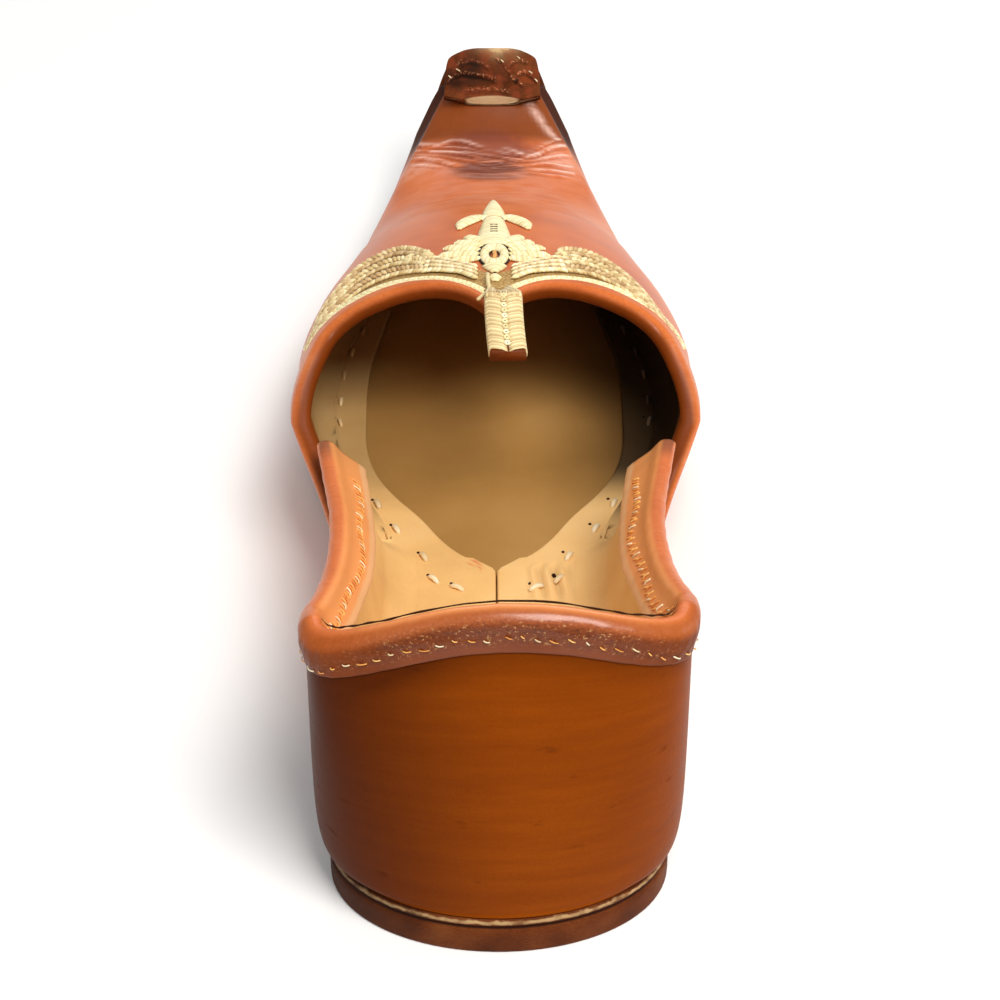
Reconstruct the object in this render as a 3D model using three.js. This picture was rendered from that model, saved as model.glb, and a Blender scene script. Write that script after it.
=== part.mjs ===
// Mojari: a flat leather slipper with a narrow waist, a heart-shaped throat and a toe that curls up.
// X runs across the shoe, Y from heel to toe and Z up. Sizes are millimetres.
// While the pieces are made, y = 0 is the back of the heel and z = 0 is the floor.
import * as THREE from "three";

// Sizes of the whole shoe
const length = 262; // back of the heel to the front of the curled toe
const ballWidth = 82.4; // widest place of the vamp
const heelWidth = 59.4; // sole under the heel
const waistWidth = 46; // sole at its narrowest
const toeWidth = 27.6; // sole strip where the toe's curl is steepest
const collarWidth = 68.4; // quarter at the corners of its collar
const instepHeight = 49.4; // ridge of the vamp at the throat, from the floor
const collarHeight = 65; // peak of the collar at the back, from the floor
const toeHeight = 41.6; // top of the fold at the toe, from the floor

// The sole
const springStart = 200; // where the tread leaves the floor
const waistLift = 1.2; // hollow of the tread under the waist
const heelThickness = 7.4;
const foreThickness = 5;
const tipThickness = 2.4;
const curlAngle = 70; // degrees, slope of the tread where the fold begins
const foldAngle = 222; // degrees, heading of the strip once it is folded back
const foldRadius = 4.2; // outside of the fold
const flapLength = 10.5; // straight part of the folded strip
const foldWidth = 7.4; // strip at the crest of the fold
const flapWidth = 22.6; // strip at its cut end
const heelDepth = 21.5; // length of the round back of the heel
const grooveDepth = 0.4; // stitch groove along the sole's edge
const edgeRound = 0.5; // rounding of the edge's corners

// Leather
const wall = 1.8; // vamp and quarter
const bindingLeather = 0.8;
const insoleLeather = 1.8;
const liningLeather = 1.2;
const clearance = 0.3; // between pieces that touch
const seamInset = 0.6; // upper behind the edge of the sole

// The upper
const quarterEnd = 101; // front ends of the quarter, inside the vamp
const wingEnd = 61; // back ends of the vamp's wings, at the sole
const collarLean = 11.6; // how far the back of the collar leans forward of the heel
const collarPeak = 8; // rise of the collar's back above its corners
const collarRound = 27.5; // length of the round back of the collar, from the back of the heel
const heelBack = 0.4; // back of the quarter at the seam
const belly = 2.2; // how far the wall of the upper bellies out over the sole
const collarTilt = 1.4; // right corner up and left corner down, as the shoe has settled
const collarLeaf = 6; // depth of the collar binding outside
const collarInnerLeaf = 7; // and inside
const throatLeaf = 3.8; // depth of the throat binding on both faces
const leafShare = 0.7; // most of the wing that the binding covers where the wing is narrow
const throatFront = 143.5; // front of the two lobes of the heart
const throatDip = 126; // tip of the heart's dip between them
const vampEnd = 5; // vamp stops this far before the fold begins, along the sole

// The tab
const tabLength = 19;
const tabFree = 15.5; // part of it that stands over the opening
const tabDroop = 6; // degrees below level
const tabWidth = 7;
const tabThickness = 2.4;
const tabShift = 1.6; // tab beside the middle of the heart
const tabSwing = 0.8; // further sideways lean of its free end
const tabRound = 0.4; // its long edges

// The bed inside
const toeRoom = 30; // the insole stops this far behind the front edge of the vamp
const liningMeet = 97; // where the two seat linings meet
const liningEnd = 196; // front end of the seat linings

const radians = THREE.MathUtils.degToRad;
const { lerp, smoothstep, clamp } = THREE.MathUtils;

// Value of one column at a place along a table, by a smooth curve through its rows.
function read(rows, column, at) {
  let i = 0;
  while (i < rows.length - 2 && at > rows[i + 1].at) i += 1;
  const slope = (j) => {
    const before = rows[Math.max(j - 1, 0)];
    const after = rows[Math.min(j + 1, rows.length - 1)];
    return (after[column] - before[column]) / (after.at - before.at);
  };
  const [a, b] = [rows[i], rows[i + 1]];
  const step = b.at - a.at;
  const t = clamp((at - a.at) / step, 0, 1);
  const [t2, t3] = [t * t, t * t * t];
  return (
    a[column] * (2 * t3 - 3 * t2 + 1) +
    slope(i) * step * (t3 - 2 * t2 + t) +
    b[column] * (3 * t2 - 2 * t3) +
    slope(i + 1) * step * (t3 - t2)
  );
}

// The tread: the underside of the sole in side view, as a path of (y, z). It is flat, climbs in the toe's
// curl, turns over the crest of the fold and runs back down as the flap.
const headingAt = (degrees) =>
  new THREE.Vector2(Math.cos(radians(degrees)), Math.sin(radians(degrees)));
const foldCentre = new THREE.Vector2(length - foldRadius, toeHeight - foldRadius);
const foldStart = headingAt(curlAngle - 90).multiplyScalar(foldRadius).add(foldCentre);
const foldEnd = headingAt(foldAngle - 90).multiplyScalar(foldRadius).add(foldCentre);
const tread = new THREE.CurvePath();
tread.add(new THREE.LineCurve(new THREE.Vector2(0, 0), new THREE.Vector2(springStart, 0)));
tread.add(
  new THREE.CubicBezierCurve(
    new THREE.Vector2(springStart, 0),
    new THREE.Vector2(lerp(springStart, foldStart.x, 0.42), 0),
    headingAt(curlAngle).multiplyScalar(-0.65 * foldStart.y).add(foldStart),
    foldStart,
  ),
);
tread.add(
  new THREE.EllipseCurve(
    foldCentre.x,
    foldCentre.y,
    foldRadius,
    foldRadius,
    radians(curlAngle - 90),
    radians(foldAngle - 90),
  ),
);
tread.add(
  new THREE.LineCurve(foldEnd, headingAt(foldAngle).multiplyScalar(flapLength).add(foldEnd)),
);
const [, foldAt, turnLength, stripLength] = tread.getCurveLengths();
const crestAt = (foldAt + turnLength) / 2;

// Where the sole's side outline lies: rows along the tread, half of the width at each.
const outline = [
  { at: heelDepth, half: 0.5 * heelWidth },
  { at: 0.13 * length, half: 0.488 * heelWidth },
  { at: 0.23 * length, half: 0.55 * waistWidth },
  { at: 0.34 * length, half: 0.5 * waistWidth },
  { at: 0.42 * length, half: 0.545 * waistWidth },
  { at: 0.485 * length, half: 0.388 * ballWidth },
  { at: 0.54 * length, half: 0.445 * ballWidth },
  { at: 0.6 * length, half: 0.46 * ballWidth },
  { at: 0.66 * length, half: 0.445 * ballWidth },
  { at: 0.72 * length, half: 0.4 * ballWidth },
  { at: lerp(springStart, foldAt, 0.05), half: 0.355 * ballWidth },
  { at: lerp(springStart, foldAt, 0.28), half: 0.32 * ballWidth },
  { at: lerp(springStart, foldAt, 0.54), half: 0.262 * ballWidth },
  { at: lerp(springStart, foldAt, 0.73), half: 0.625 * toeWidth },
  { at: lerp(springStart, foldAt, 0.88), half: 0.5 * toeWidth },
  { at: foldAt, half: 0.375 * toeWidth },
  { at: lerp(foldAt, crestAt, 0.5), half: 0.43 * foldWidth + 0.18 * flapWidth },
  { at: crestAt, half: 0.5 * foldWidth },
  { at: lerp(crestAt, turnLength, 0.5), half: 0.43 * foldWidth + 0.18 * flapWidth },
  { at: turnLength, half: 0.46 * flapWidth },
  { at: stripLength, half: 0.5 * flapWidth },
];

function soleHalf(along) {
  if (along >= heelDepth) return read(outline, "half", along);
  const back = 1 - Math.max(along, 0) / heelDepth;
  return 0.5 * heelWidth * Math.sqrt(Math.max(1 - back * back, 0));
}

const soleDepths = [
  { at: 0, thickness: heelThickness },
  { at: 0.25 * length, thickness: heelThickness },
  { at: 0.45 * length, thickness: foreThickness },
  { at: springStart, thickness: foreThickness },
  { at: lerp(springStart, foldAt, 0.6), thickness: lerp(foreThickness, tipThickness, 0.7) },
  { at: foldAt, thickness: tipThickness },
  { at: stripLength, thickness: tipThickness },
];
const soleThickness = (along) => read(soleDepths, "thickness", along);

// A place over the sole: along the tread, across it, and up from the tread at a right angle to it.
function overTread(along, across, up) {
  const share = clamp(along / stripLength, 0, 1);
  const foot = tread.getPoint(share);
  const heading = tread.getTangent(share);
  return new THREE.Vector3(across, foot.x - up * heading.y, foot.y + up * heading.x);
}
const overSole = (along, across, up) => overTread(along, across, soleThickness(along) + up);

// Closed solid from vertices and triangles.
function solid(points, triangles) {
  const geometry = new THREE.BufferGeometry();
  geometry.setAttribute(
    "position",
    new THREE.Float32BufferAttribute(points.flatMap((p) => p.toArray()), 3),
  );
  geometry.setIndex(triangles.flat());
  geometry.computeVertexNormals();
  return geometry;
}

// Band of triangles between two rows of vertices, given by the row's first index.
function band(from, to, count, closed, triangles) {
  const steps = closed ? count : count - 1;
  for (let i = 0; i < steps; i += 1) {
    const next = (i + 1) % count;
    triangles.push([from + i, from + next, to + next], [from + i, to + next, to + i]);
  }
}

// A plate: pairs of left and right edges along the shoe, and rows of its edge profile from the underside up.
// place puts each point where it belongs.
function plate(pairs, profile, place) {
  const loop = [
    ...pairs.map((p) => new THREE.Vector2(p.right, p.at)),
    ...pairs.map((p) => new THREE.Vector2(p.left, p.at)).reverse(),
  ];
  const count = loop.length;
  const inward = loop.map((_, i) => {
    const run = loop[(i + 1) % count].clone().sub(loop[(i + count - 1) % count]).normalize();
    return new THREE.Vector2(-run.y, run.x);
  });
  const points = [];
  const triangles = [];
  for (const row of profile) {
    loop.forEach((p, i) => {
      const q = inward[i].clone().multiplyScalar(row.inset).add(p);
      points.push(place(q.y, q.x, row.up));
    });
  }
  for (let k = 0; k + 1 < profile.length; k += 1) {
    band(k * count, (k + 1) * count, count, true, triangles);
  }
  const top = (profile.length - 1) * count;
  for (let i = 0; i + 1 < pairs.length; i += 1) {
    const [right, left] = [i, count - 1 - i];
    triangles.push([right, left, left - 1], [right, left - 1, right + 1]);
    triangles.push([top + right, top + left - 1, top + left]);
    triangles.push([top + right, top + right + 1, top + left - 1]);
  }
  return solid(points, triangles);
}

// A shell with thickness: onFace(i, j, inner) gives the outer or inner face at each node of a grid.
function shell(columns, rows, onFace) {
  const points = [];
  const triangles = [];
  for (const inner of [false, true]) {
    for (let j = 0; j < rows; j += 1) {
      for (let i = 0; i < columns; i += 1) points.push(onFace(i, j, inner));
    }
  }
  const inside = columns * rows;
  for (let j = 0; j + 1 < rows; j += 1) {
    band(j * columns, (j + 1) * columns, columns, false, triangles);
    band(inside + (j + 1) * columns, inside + j * columns, columns, false, triangles);
    for (const [side, turn] of [[0, 0], [columns - 1, 1]]) {
      const [a, b] = [j * columns + side, (j + 1) * columns + side];
      const quad = turn ? [a, inside + a, inside + b, b] : [a, b, inside + b, inside + a];
      triangles.push([quad[0], quad[1], quad[2]], [quad[0], quad[2], quad[3]]);
    }
  }
  band(inside, 0, columns, false, triangles);
  band((rows - 1) * columns, inside + (rows - 1) * columns, columns, false, triangles);
  return solid(points, triangles);
}

// A strip with one section all along, closed at both ends: section(i) gives a closed ring of points.
function strip(stations, section, flat) {
  const points = [];
  const triangles = [];
  for (let i = 0; i < stations; i += 1) points.push(...section(i));
  const count = flat.length;
  for (let i = 0; i + 1 < stations; i += 1) {
    band(i * count, (i + 1) * count, count, true, triangles);
  }
  const last = (stations - 1) * count;
  const ring = flat.map((row) => new THREE.Vector2(row.off, -row.down));
  for (const [a, b, c] of THREE.ShapeUtils.triangulateShape(ring, [])) {
    triangles.push([c, b, a], [last + a, last + b, last + c]);
  }
  return solid(points, triangles);
}

// Stations along the tread, closer where the outline or the path turns.
function stationsBetween(from, to, step) {
  const count = Math.max(2, Math.ceil((to - from) / step));
  return Array.from({ length: count + 1 }, (_, i) => lerp(from, to, i / count));
}
const heelStations = (start, depth) =>
  [5, 14, 25, 37, 50, 62, 74].map((angle) => start + depth * (1 - Math.cos(radians(angle))));

// Outsole
function makeOutsole() {
  const along = [
    ...heelStations(0, heelDepth),
    ...stationsBetween(heelDepth, springStart, 12),
    ...stationsBetween(springStart, foldAt, 6).slice(1),
    ...stationsBetween(foldAt, turnLength, 2).slice(1),
    ...stationsBetween(turnLength, stripLength, 4).slice(1),
  ];
  const pairs = along.map((at) => ({ at, left: -soleHalf(at), right: soleHalf(at) }));
  const profile = [
    { inset: 0.8 * edgeRound, up: 0 },
    { inset: 0.2 * edgeRound, up: 0.07 },
    { inset: 0, up: 0.25 },
    { inset: 0, up: 0.68 },
    { inset: grooveDepth, up: 0.74 },
    { inset: grooveDepth, up: 0.79 },
    { inset: 0.1 * edgeRound, up: 0.85 },
    { inset: 0.1 * edgeRound, up: 0.95 },
    { inset: edgeRound, up: 1 },
  ];
  const [liftStart, liftPeak, liftEnd] = [0.2 * length, 0.36 * length, 0.5 * length];
  const lift = (at) =>
    waistLift * smoothstep(at, liftStart, liftPeak) * (1 - smoothstep(at, liftPeak, liftEnd));
  return plate(pairs, profile, (at, across, up) =>
    overTread(at, across, lerp(lift(at), soleThickness(at), up)),
  );
}

// Half width of the upper's wall: it flares from the seam to its widest line, and bellies out just above
// the seam.
const wallHalf = (seam, widest, share) =>
  lerp(seam, widest, share) + belly * Math.sin(Math.PI * Math.pow(clamp(share, 0, 1), 0.35));
const bindingRise = clearance + bindingLeather; // how far a binding stands out from the wall that it covers
const lap = 2 * bindingRise + clearance; // room for both bindings between the quarter and the wing
const tuck = (at) => (wall + lap) * smoothstep(at, 0.74 * wingEnd, 0.98 * wingEnd);

// Quarter: rows along its side, half width and height of the collar at each.
const collar = [
  { at: heelDepth, half: 0.49 * collarWidth, height: 1 },
  { at: 0.105 * length, half: 0.473 * collarWidth, height: 0.96 },
  { at: 0.141 * length, half: 0.449 * collarWidth, height: 0.9 },
  { at: 0.18 * length, half: 0.433 * collarWidth, height: 0.845 },
  { at: 0.22 * length, half: 0.427 * collarWidth, height: 0.805 },
  { at: 0.265 * length, half: 0.433 * collarWidth, height: 0.76 },
  { at: 0.315 * length, half: 0.455 * collarWidth, height: 0.705 },
  { at: quarterEnd, half: 0.492 * collarWidth, height: 0.65 },
];
const cornerHeight = collarHeight - collarPeak - bindingRise;
const seamHeight = (at) => soleThickness(at) + clearance;
const seamHalf = (at) => soleHalf(at) - seamInset - tuck(at);
const sideHalf = (at, share) => wallHalf(seamHalf(at), read(collar, "half", at), share);

// A place on the quarter: around runs from -1 at the left front end to 1 at the right one, share from 0 at
// the seam to 1 at the collar, and inset into the wall.
const heelShare = 0.42; // part of each half that is the round back
function onQuarter(around, share, inset) {
  const [side, part] = [Math.sign(around) || 1, Math.abs(around)];
  const backAt = lerp(heelBack, collarLean, share * share) + inset;
  const roundEnd = lerp(heelDepth, collarRound, share);
  const corner = lerp(1, 0.42, Math.pow(share, 1.5)); // below 1 the corner is squarer
  let [x, at] = [0, 0];
  if (part < heelShare) {
    const angle = ((part / heelShare) * Math.PI) / 2;
    x = (sideHalf(roundEnd, share) - inset) * Math.pow(Math.sin(angle), corner);
    at = lerp(roundEnd, backAt, Math.pow(Math.cos(angle), corner));
  } else {
    at = lerp(roundEnd, quarterEnd, (part - heelShare) / (1 - heelShare));
    x = sideHalf(at, share) - inset;
  }
  const top = collarTop(side * x, at, part);
  return new THREE.Vector3(side * x, at, lerp(seamHeight(at), top, share));
}

function collarTop(x, at, part) {
  const sideways = x / (0.5 * collarWidth);
  const back = Math.cos((Math.PI / 2) * clamp(Math.abs(sideways), 0, 1));
  const height = cornerHeight * read(collar, "height", Math.max(at, heelDepth));
  const hump = part < heelShare ? collarPeak * Math.pow(back, 1.2) : 0;
  return height + hump + collarTilt * sideways * (1 - smoothstep(at, heelDepth, quarterEnd));
}

// Share of the wall's height that lies the given distance under the collar.
function underCollar(around, down) {
  const height = onQuarter(around, 1, 0).distanceTo(onQuarter(around, 0, 0));
  return 1 - down / height;
}

function makeQuarter() {
  const [columns, rows] = [61, 8];
  return shell(columns, rows, (i, j, inner) =>
    onQuarter(lerp(-1, 1, i / (columns - 1)), j / (rows - 1), inner ? wall : 0),
  );
}

// Section of a binding folded over an edge: how far down from the edge and how far out of the wall's outer
// face, from the foot of the outer leaf over the edge to the foot of the inner leaf and back inside the fold.
function bindingSection(outerLeaf, innerLeaf) {
  const [near, far] = [clearance, clearance + bindingLeather];
  return [
    { down: outerLeaf, off: near },
    { down: outerLeaf, off: near + 0.7 * bindingLeather },
    { down: 0.75 * outerLeaf, off: far },
    { down: clearance, off: far },
    { down: -0.75 * far, off: 0.4 * far },
    { down: -far, off: -wall / 2 },
    { down: -0.75 * far, off: -wall - 0.4 * far },
    { down: clearance, off: -wall - far },
    { down: 0.75 * innerLeaf, off: -wall - far },
    { down: innerLeaf, off: -wall - near - 0.7 * bindingLeather },
    { down: innerLeaf, off: -wall - near },
    { down: -near, off: -wall - near },
    { down: -near, off: near },
  ];
}

function makeCollarBinding() {
  const section = bindingSection(collarLeaf, collarInnerLeaf);
  const stations = 61;
  return strip(
    stations,
    (i) => {
      const around = lerp(1, -1, i / (stations - 1));
      return section.map((row) => onQuarter(around, underCollar(around, row.down), -row.off));
    },
    section,
  );
}

// Vamp: rows along the sole, with the half width and height of its widest line, and the height of its ridge.
// Where it laps the quarter, its widest line is the collar's, one wall and one lap further out.
const climb = (share) => lerp(springStart, foldAt, share);
const vampRows = [
  ...collar.slice(4).map((row) => ({
    at: row.at,
    half: row.half + wall + lap,
    widest: cornerHeight * row.height - seamHeight(row.at),
    ridge: instepHeight - seamHeight(row.at),
  })),
  { at: 0.465 * length, half: 0.482 * ballWidth, widest: 0.5 * instepHeight, ridge: 0.895 * instepHeight },
  { at: 0.54 * length, half: 0.49 * ballWidth, widest: 0.34 * instepHeight, ridge: 0.868 * instepHeight },
  { at: 0.6 * length, half: 0.5 * ballWidth, widest: 0.24 * instepHeight, ridge: 0.8 * instepHeight },
  { at: 0.67 * length, half: 0.469 * ballWidth, widest: 0.19 * instepHeight, ridge: 0.705 * instepHeight },
  { at: 0.73 * length, half: 0.416 * ballWidth, widest: 0.17 * instepHeight, ridge: 0.62 * instepHeight },
  { at: climb(0.05), half: 0.379 * ballWidth, widest: 0.15 * instepHeight, ridge: 0.54 * instepHeight },
  { at: climb(0.28), half: 0.34 * ballWidth, widest: 0.12 * instepHeight, ridge: 0.4 * instepHeight },
  { at: climb(0.54), half: 0.274 * ballWidth, widest: 0.09 * instepHeight, ridge: 0.25 * instepHeight },
  { at: climb(0.73), half: 0.615 * toeWidth, widest: 0.07 * instepHeight, ridge: 0.16 * instepHeight },
  { at: climb(0.88), half: 0.44 * toeWidth, widest: 0.045 * instepHeight, ridge: 0.12 * instepHeight },
  { at: foldAt - vampEnd, half: 0.36 * toeWidth, widest: 0.035 * instepHeight, ridge: 0.098 * instepHeight },
];
const widestArc = 0.5; // share of a half arch that lies above its widest line

// A place on the vamp: along the sole, arc from -1 at the left seam over the ridge to 1 at the right seam,
// and inset into the wall.
function onVamp(along, arc, inset) {
  const [side, part] = [Math.sign(arc) || 1, Math.abs(arc)];
  const half = read(vampRows, "half", along) - inset;
  const seam = Math.min(seamHalf(along) + tuck(along), half + inset) - inset;
  const widest = read(vampRows, "widest", along);
  const ridge = read(vampRows, "ridge", along) - inset;
  if (part > widestArc) {
    const share = (1 - part) / (1 - widestArc);
    return overSole(along, side * wallHalf(seam, half, share), clearance + widest * share);
  }
  const angle = ((part / widestArc) * Math.PI) / 2;
  const up = lerp(widest, ridge, Math.cos(angle));
  return overSole(along, side * half * Math.sin(angle), clearance + up);
}

// Edge of the throat on one half: rows from the dip (at 0) to the end of the wing (at 1).
const lobe = (share) => lerp(throatDip, throatFront, share);
const wing = (share) => lerp(wingEnd, throatFront, share);
const throat = [
  { at: 0, along: lobe(0), arc: 0 },
  { at: 0.04, along: lobe(0.36), arc: 0.02 },
  { at: 0.08, along: lobe(0.69), arc: 0.055 },
  { at: 0.13, along: lobe(0.9), arc: 0.1 },
  { at: 0.19, along: lobe(0.99), arc: 0.15 },
  { at: 0.26, along: lobe(1), arc: 0.21 },
  { at: 0.33, along: wing(0.996), arc: 0.27 },
  { at: 0.4, along: wing(0.96), arc: 0.335 },
  { at: 0.48, along: wing(0.848), arc: 0.392 },
  { at: 0.56, along: wing(0.7), arc: 0.455 },
  { at: 0.64, along: wing(0.549), arc: 0.56 },
  { at: 0.72, along: wing(0.45), arc: 0.67 },
  { at: 0.8, along: wing(0.327), arc: 0.79 },
  { at: 0.9, along: wing(0.158), arc: 0.89 },
  { at: 1, along: wing(0), arc: 0.955 },
];
const toeShare = 0.12; // part of each half that ends at the front edge instead of the seam

// Grid over the vamp: around runs from -1 at the left wing to 1 at the right wing, out from 0 at the throat
// to 1 at the seam and the front edge.
function vampGrid(around, out) {
  const [side, part] = [Math.sign(around) || 1, Math.abs(around)];
  const front = foldAt - vampEnd;
  const inner = { along: read(throat, "along", part), arc: read(throat, "arc", part) };
  const outer = { along: front, arc: part / toeShare };
  if (part > toeShare) {
    const back = (part - toeShare) / (1 - toeShare);
    outer.along = lerp(front, wingEnd, back);
    outer.arc = 1;
  }
  return [lerp(inner.along, outer.along, out), side * lerp(inner.arc, outer.arc, out)];
}

function makeVamp() {
  const [columns, rows] = [65, 16];
  const crowding = 1.15; // above 1 the rows lie closer together at the throat
  return shell(columns, rows, (i, j, inner) => {
    const out = Math.pow(j / (rows - 1), crowding);
    const [along, arc] = vampGrid(lerp(-1, 1, i / (columns - 1)), out);
    return onVamp(along, arc, inner ? wall : 0);
  });
}

// Distance along the vamp's face from the throat to the far edge, at one place around.
function reach(around) {
  const steps = 12;
  let [sum, last] = [0, null];
  for (let i = 0; i <= steps; i += 1) {
    const here = onVamp(...vampGrid(around, i / steps), 0);
    if (last) sum += here.distanceTo(last);
    last = here;
  }
  return sum;
}

function makeThroatBinding() {
  const section = bindingSection(throatLeaf, throatLeaf);
  const stations = 65;
  return strip(
    stations,
    (i) => {
      const around = lerp(-1, 1, i / (stations - 1));
      const span = reach(around);
      const fit = Math.min(1, (leafShare * span) / throatLeaf);
      return section.map((row) => {
        const down = row.down > 0 ? row.down * fit : row.down;
        return onVamp(...vampGrid(around, down / span), -row.off);
      });
    },
    section,
  );
}

// Tab: it lies on the ridge over the binding, from between the lobes to the dip, and runs on over the
// opening.
function makeTab() {
  const raise = bindingRise + clearance;
  const seat = tabLength - tabFree;
  const steps = 4;
  const spine = Array.from({ length: steps + 1 }, (_, i) =>
    onVamp(throatDip + seat * (1 - i / steps), 0, -raise),
  );
  const droop = headingAt(180 + tabDroop);
  const leave = spine[steps];
  for (const share of [1 / 3, 2 / 3, 1]) {
    const step = droop.clone().multiplyScalar(share * tabFree);
    spine.push(new THREE.Vector3(0, leave.y + step.x, leave.z + step.y));
  }
  const half = tabWidth / 2;
  const section = [
    { off: -half, down: 0 },
    { off: half, down: 0 },
    { off: half, down: -0.7 * tabThickness },
    { off: half - tabRound, down: -tabThickness },
    { off: tabRound - half, down: -tabThickness },
    { off: -half, down: -0.7 * tabThickness },
  ];
  const last = spine.length - 1;
  return strip(
    spine.length,
    (i) => {
      const run = spine[Math.min(i + 1, last)].clone().sub(spine[Math.max(i - 1, 0)]).normalize();
      return section.map((row) => {
        const x = row.off + tabShift + tabSwing * Math.pow(i / last, 2);
        return new THREE.Vector3(x, spine[i].y + row.down * run.z, spine[i].z + row.down * run.y);
      });
    },
    section,
  );
}

// The bed: the insole fills the floor inside the wall, and the seat linings lie on it.
function bedHalf(at) {
  if (at < heelDepth) {
    const depth = heelDepth - bedStart;
    const rest = clamp(1 - (at - bedStart) / depth, 0, 1);
    return bedHalf(heelDepth) * Math.sqrt(1 - rest * rest);
  }
  const lapped = at > quarterEnd ? 0 : tuck(at);
  return soleHalf(at) - seamInset - lapped - wall - clearance;
}
const bedStart = heelBack + wall + clearance;
const bedEnd = foldAt - vampEnd - toeRoom;
const bedStations = (end) => [
  ...heelStations(bedStart, heelDepth - bedStart),
  ...stationsBetween(heelDepth, quarterEnd, 9),
  ...stationsBetween(quarterEnd + clearance, end, 9),
];
const flatEdge = (bottom, thickness) => [
  { inset: 0, up: bottom },
  { inset: 0, up: bottom + thickness },
];

function makeInsole() {
  const pairs = bedStations(bedEnd).map((at) => ({ at, left: -bedHalf(at), right: bedHalf(at) }));
  return plate(pairs, flatEdge(clearance, insoleLeather), overSole);
}

// Free edge of the seat lining: share of the bed's half width, from where the two meet to their front ends.
const liningAt = (share) => lerp(liningMeet, liningEnd, share);
const liningEdge = [
  { at: liningAt(0), part: 0 },
  { at: liningAt(0.05), part: 0.31 },
  { at: liningAt(0.11), part: 0.5 },
  { at: liningAt(0.19), part: 0.63 },
  { at: liningAt(0.26), part: 0.73 },
  { at: liningAt(0.35), part: 0.79 },
  { at: liningAt(0.57), part: 0.77 },
  { at: liningAt(1), part: 0.8 },
];

function makeSeatLining(side) {
  const pairs = bedStations(liningEnd).map((at) => {
    const free = at > liningMeet ? read(liningEdge, "part", at) * bedHalf(at) : 0;
    const [inner, outer] = [free + clearance / 2, bedHalf(at)];
    return side > 0 ? { at, left: inner, right: outer } : { at, left: -outer, right: -inner };
  });
  return plate(pairs, flatEdge(2 * clearance + insoleLeather, liningLeather), overSole);
}

const shoe = new THREE.Group();
const pieces = [
  ["outsole", makeOutsole(), 0x4a2410, 0.6],
  ["insole", makeInsole(), 0xa5743d, 0.7],
  ["seat_lining_left", makeSeatLining(-1), 0xe3ac66, 0.75],
  ["seat_lining_right", makeSeatLining(1), 0xe3ac66, 0.75],
  ["quarter", makeQuarter(), 0x8c4410, 0.4],
  ["vamp", makeVamp(), 0xcb7440, 0.35],
  ["collar_binding", makeCollarBinding(), 0xd88850, 0.4],
  ["throat_binding", makeThroatBinding(), 0xd3834e, 0.4],
  ["throat_tab", makeTab(), 0xebd4a9, 0.6],
];
for (const [name, geometry, color, roughness] of pieces) {
  const material = new THREE.MeshStandardMaterial({ color, roughness, metalness: 0 });
  const mesh = new THREE.Mesh(geometry, material);
  mesh.name = name;
  shoe.add(mesh);
}
shoe.position.y = -length / 2;

export default shoe;
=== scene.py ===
# %% [markdown]
# A mojari is a flat slipper of dyed leather. This lesson dresses its packed CAD solids: the same last is
# rebuilt at a finer grain, and leather, thread and embroidery are laid on it piece by piece.
# Everything is worked out in millimetres along the shoe, and turned into metres when a mesh is made.

import math

import bpy
import numpy as np
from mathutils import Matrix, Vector


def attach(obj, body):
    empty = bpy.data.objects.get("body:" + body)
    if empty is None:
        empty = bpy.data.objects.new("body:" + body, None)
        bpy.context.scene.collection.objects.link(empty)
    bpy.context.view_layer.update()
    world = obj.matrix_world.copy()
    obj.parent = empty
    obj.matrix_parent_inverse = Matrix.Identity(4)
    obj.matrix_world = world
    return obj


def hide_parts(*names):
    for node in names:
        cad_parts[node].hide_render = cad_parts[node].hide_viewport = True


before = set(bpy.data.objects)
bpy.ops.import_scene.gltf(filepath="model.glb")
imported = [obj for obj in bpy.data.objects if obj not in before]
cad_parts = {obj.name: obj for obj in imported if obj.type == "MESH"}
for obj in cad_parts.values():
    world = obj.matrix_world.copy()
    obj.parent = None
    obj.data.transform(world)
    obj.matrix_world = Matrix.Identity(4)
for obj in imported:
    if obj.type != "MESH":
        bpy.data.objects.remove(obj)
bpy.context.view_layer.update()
print("CAD nodes:", sorted(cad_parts))

# %% [markdown]
# The sizes are those of the part itself, so that each finer surface lies exactly where its solid lies.
# A reader who changes one here has to change it in the part too.

# %% Sizes in millimetres
length, ball_width, heel_width, waist_width, toe_width = 262, 82.4, 59.4, 46, 27.6
collar_width, instep_height, collar_height, toe_height = 68.4, 49.4, 65, 41.6
spring_start, waist_lift = 200, 1.2
heel_thickness, fore_thickness, tip_thickness = 7.4, 5, 2.4
curl_angle, fold_angle, fold_radius, flap_length = 70, 222, 4.2, 10.5
fold_width, flap_width, heel_depth = 7.4, 22.6, 21.5
groove_depth, edge_round = 0.4, 0.5
wall, binding_leather, insole_leather, lining_leather = 1.8, 0.8, 1.8, 1.2
clearance, seam_inset = 0.3, 0.6
quarter_end, wing_end, collar_lean, collar_peak, collar_round = 101, 61, 11.6, 8, 27.5
heel_back, belly, collar_tilt, collar_leaf, collar_inner_leaf = 0.4, 2.2, 1.4, 6, 7
throat_leaf, leaf_share, throat_front, throat_dip, vamp_end = 3.8, 0.7, 143.5, 126, 5
tab_length, tab_free, tab_droop, tab_width, tab_thickness = 19, 15.5, 6, 7, 2.4
tab_shift, tab_swing = 1.6, 0.8
toe_room, lining_meet, lining_end = 30, 97, 196
binding_rise = clearance + binding_leather
lap = 2 * binding_rise + clearance
corner_height = collar_height - collar_peak - binding_rise
print("sole", length, "mm long,", ball_width, "mm across the ball")


# %% [markdown]
# A last has no formula. It is a handful of listed sections, and a smooth curve through them.
# A cubic Hermite curve passes through every row and keeps its slope there, so the leather has no kinks.

# %% Smooth tables
def lerp(a, b, share):
    return a + (b - a) * share


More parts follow.
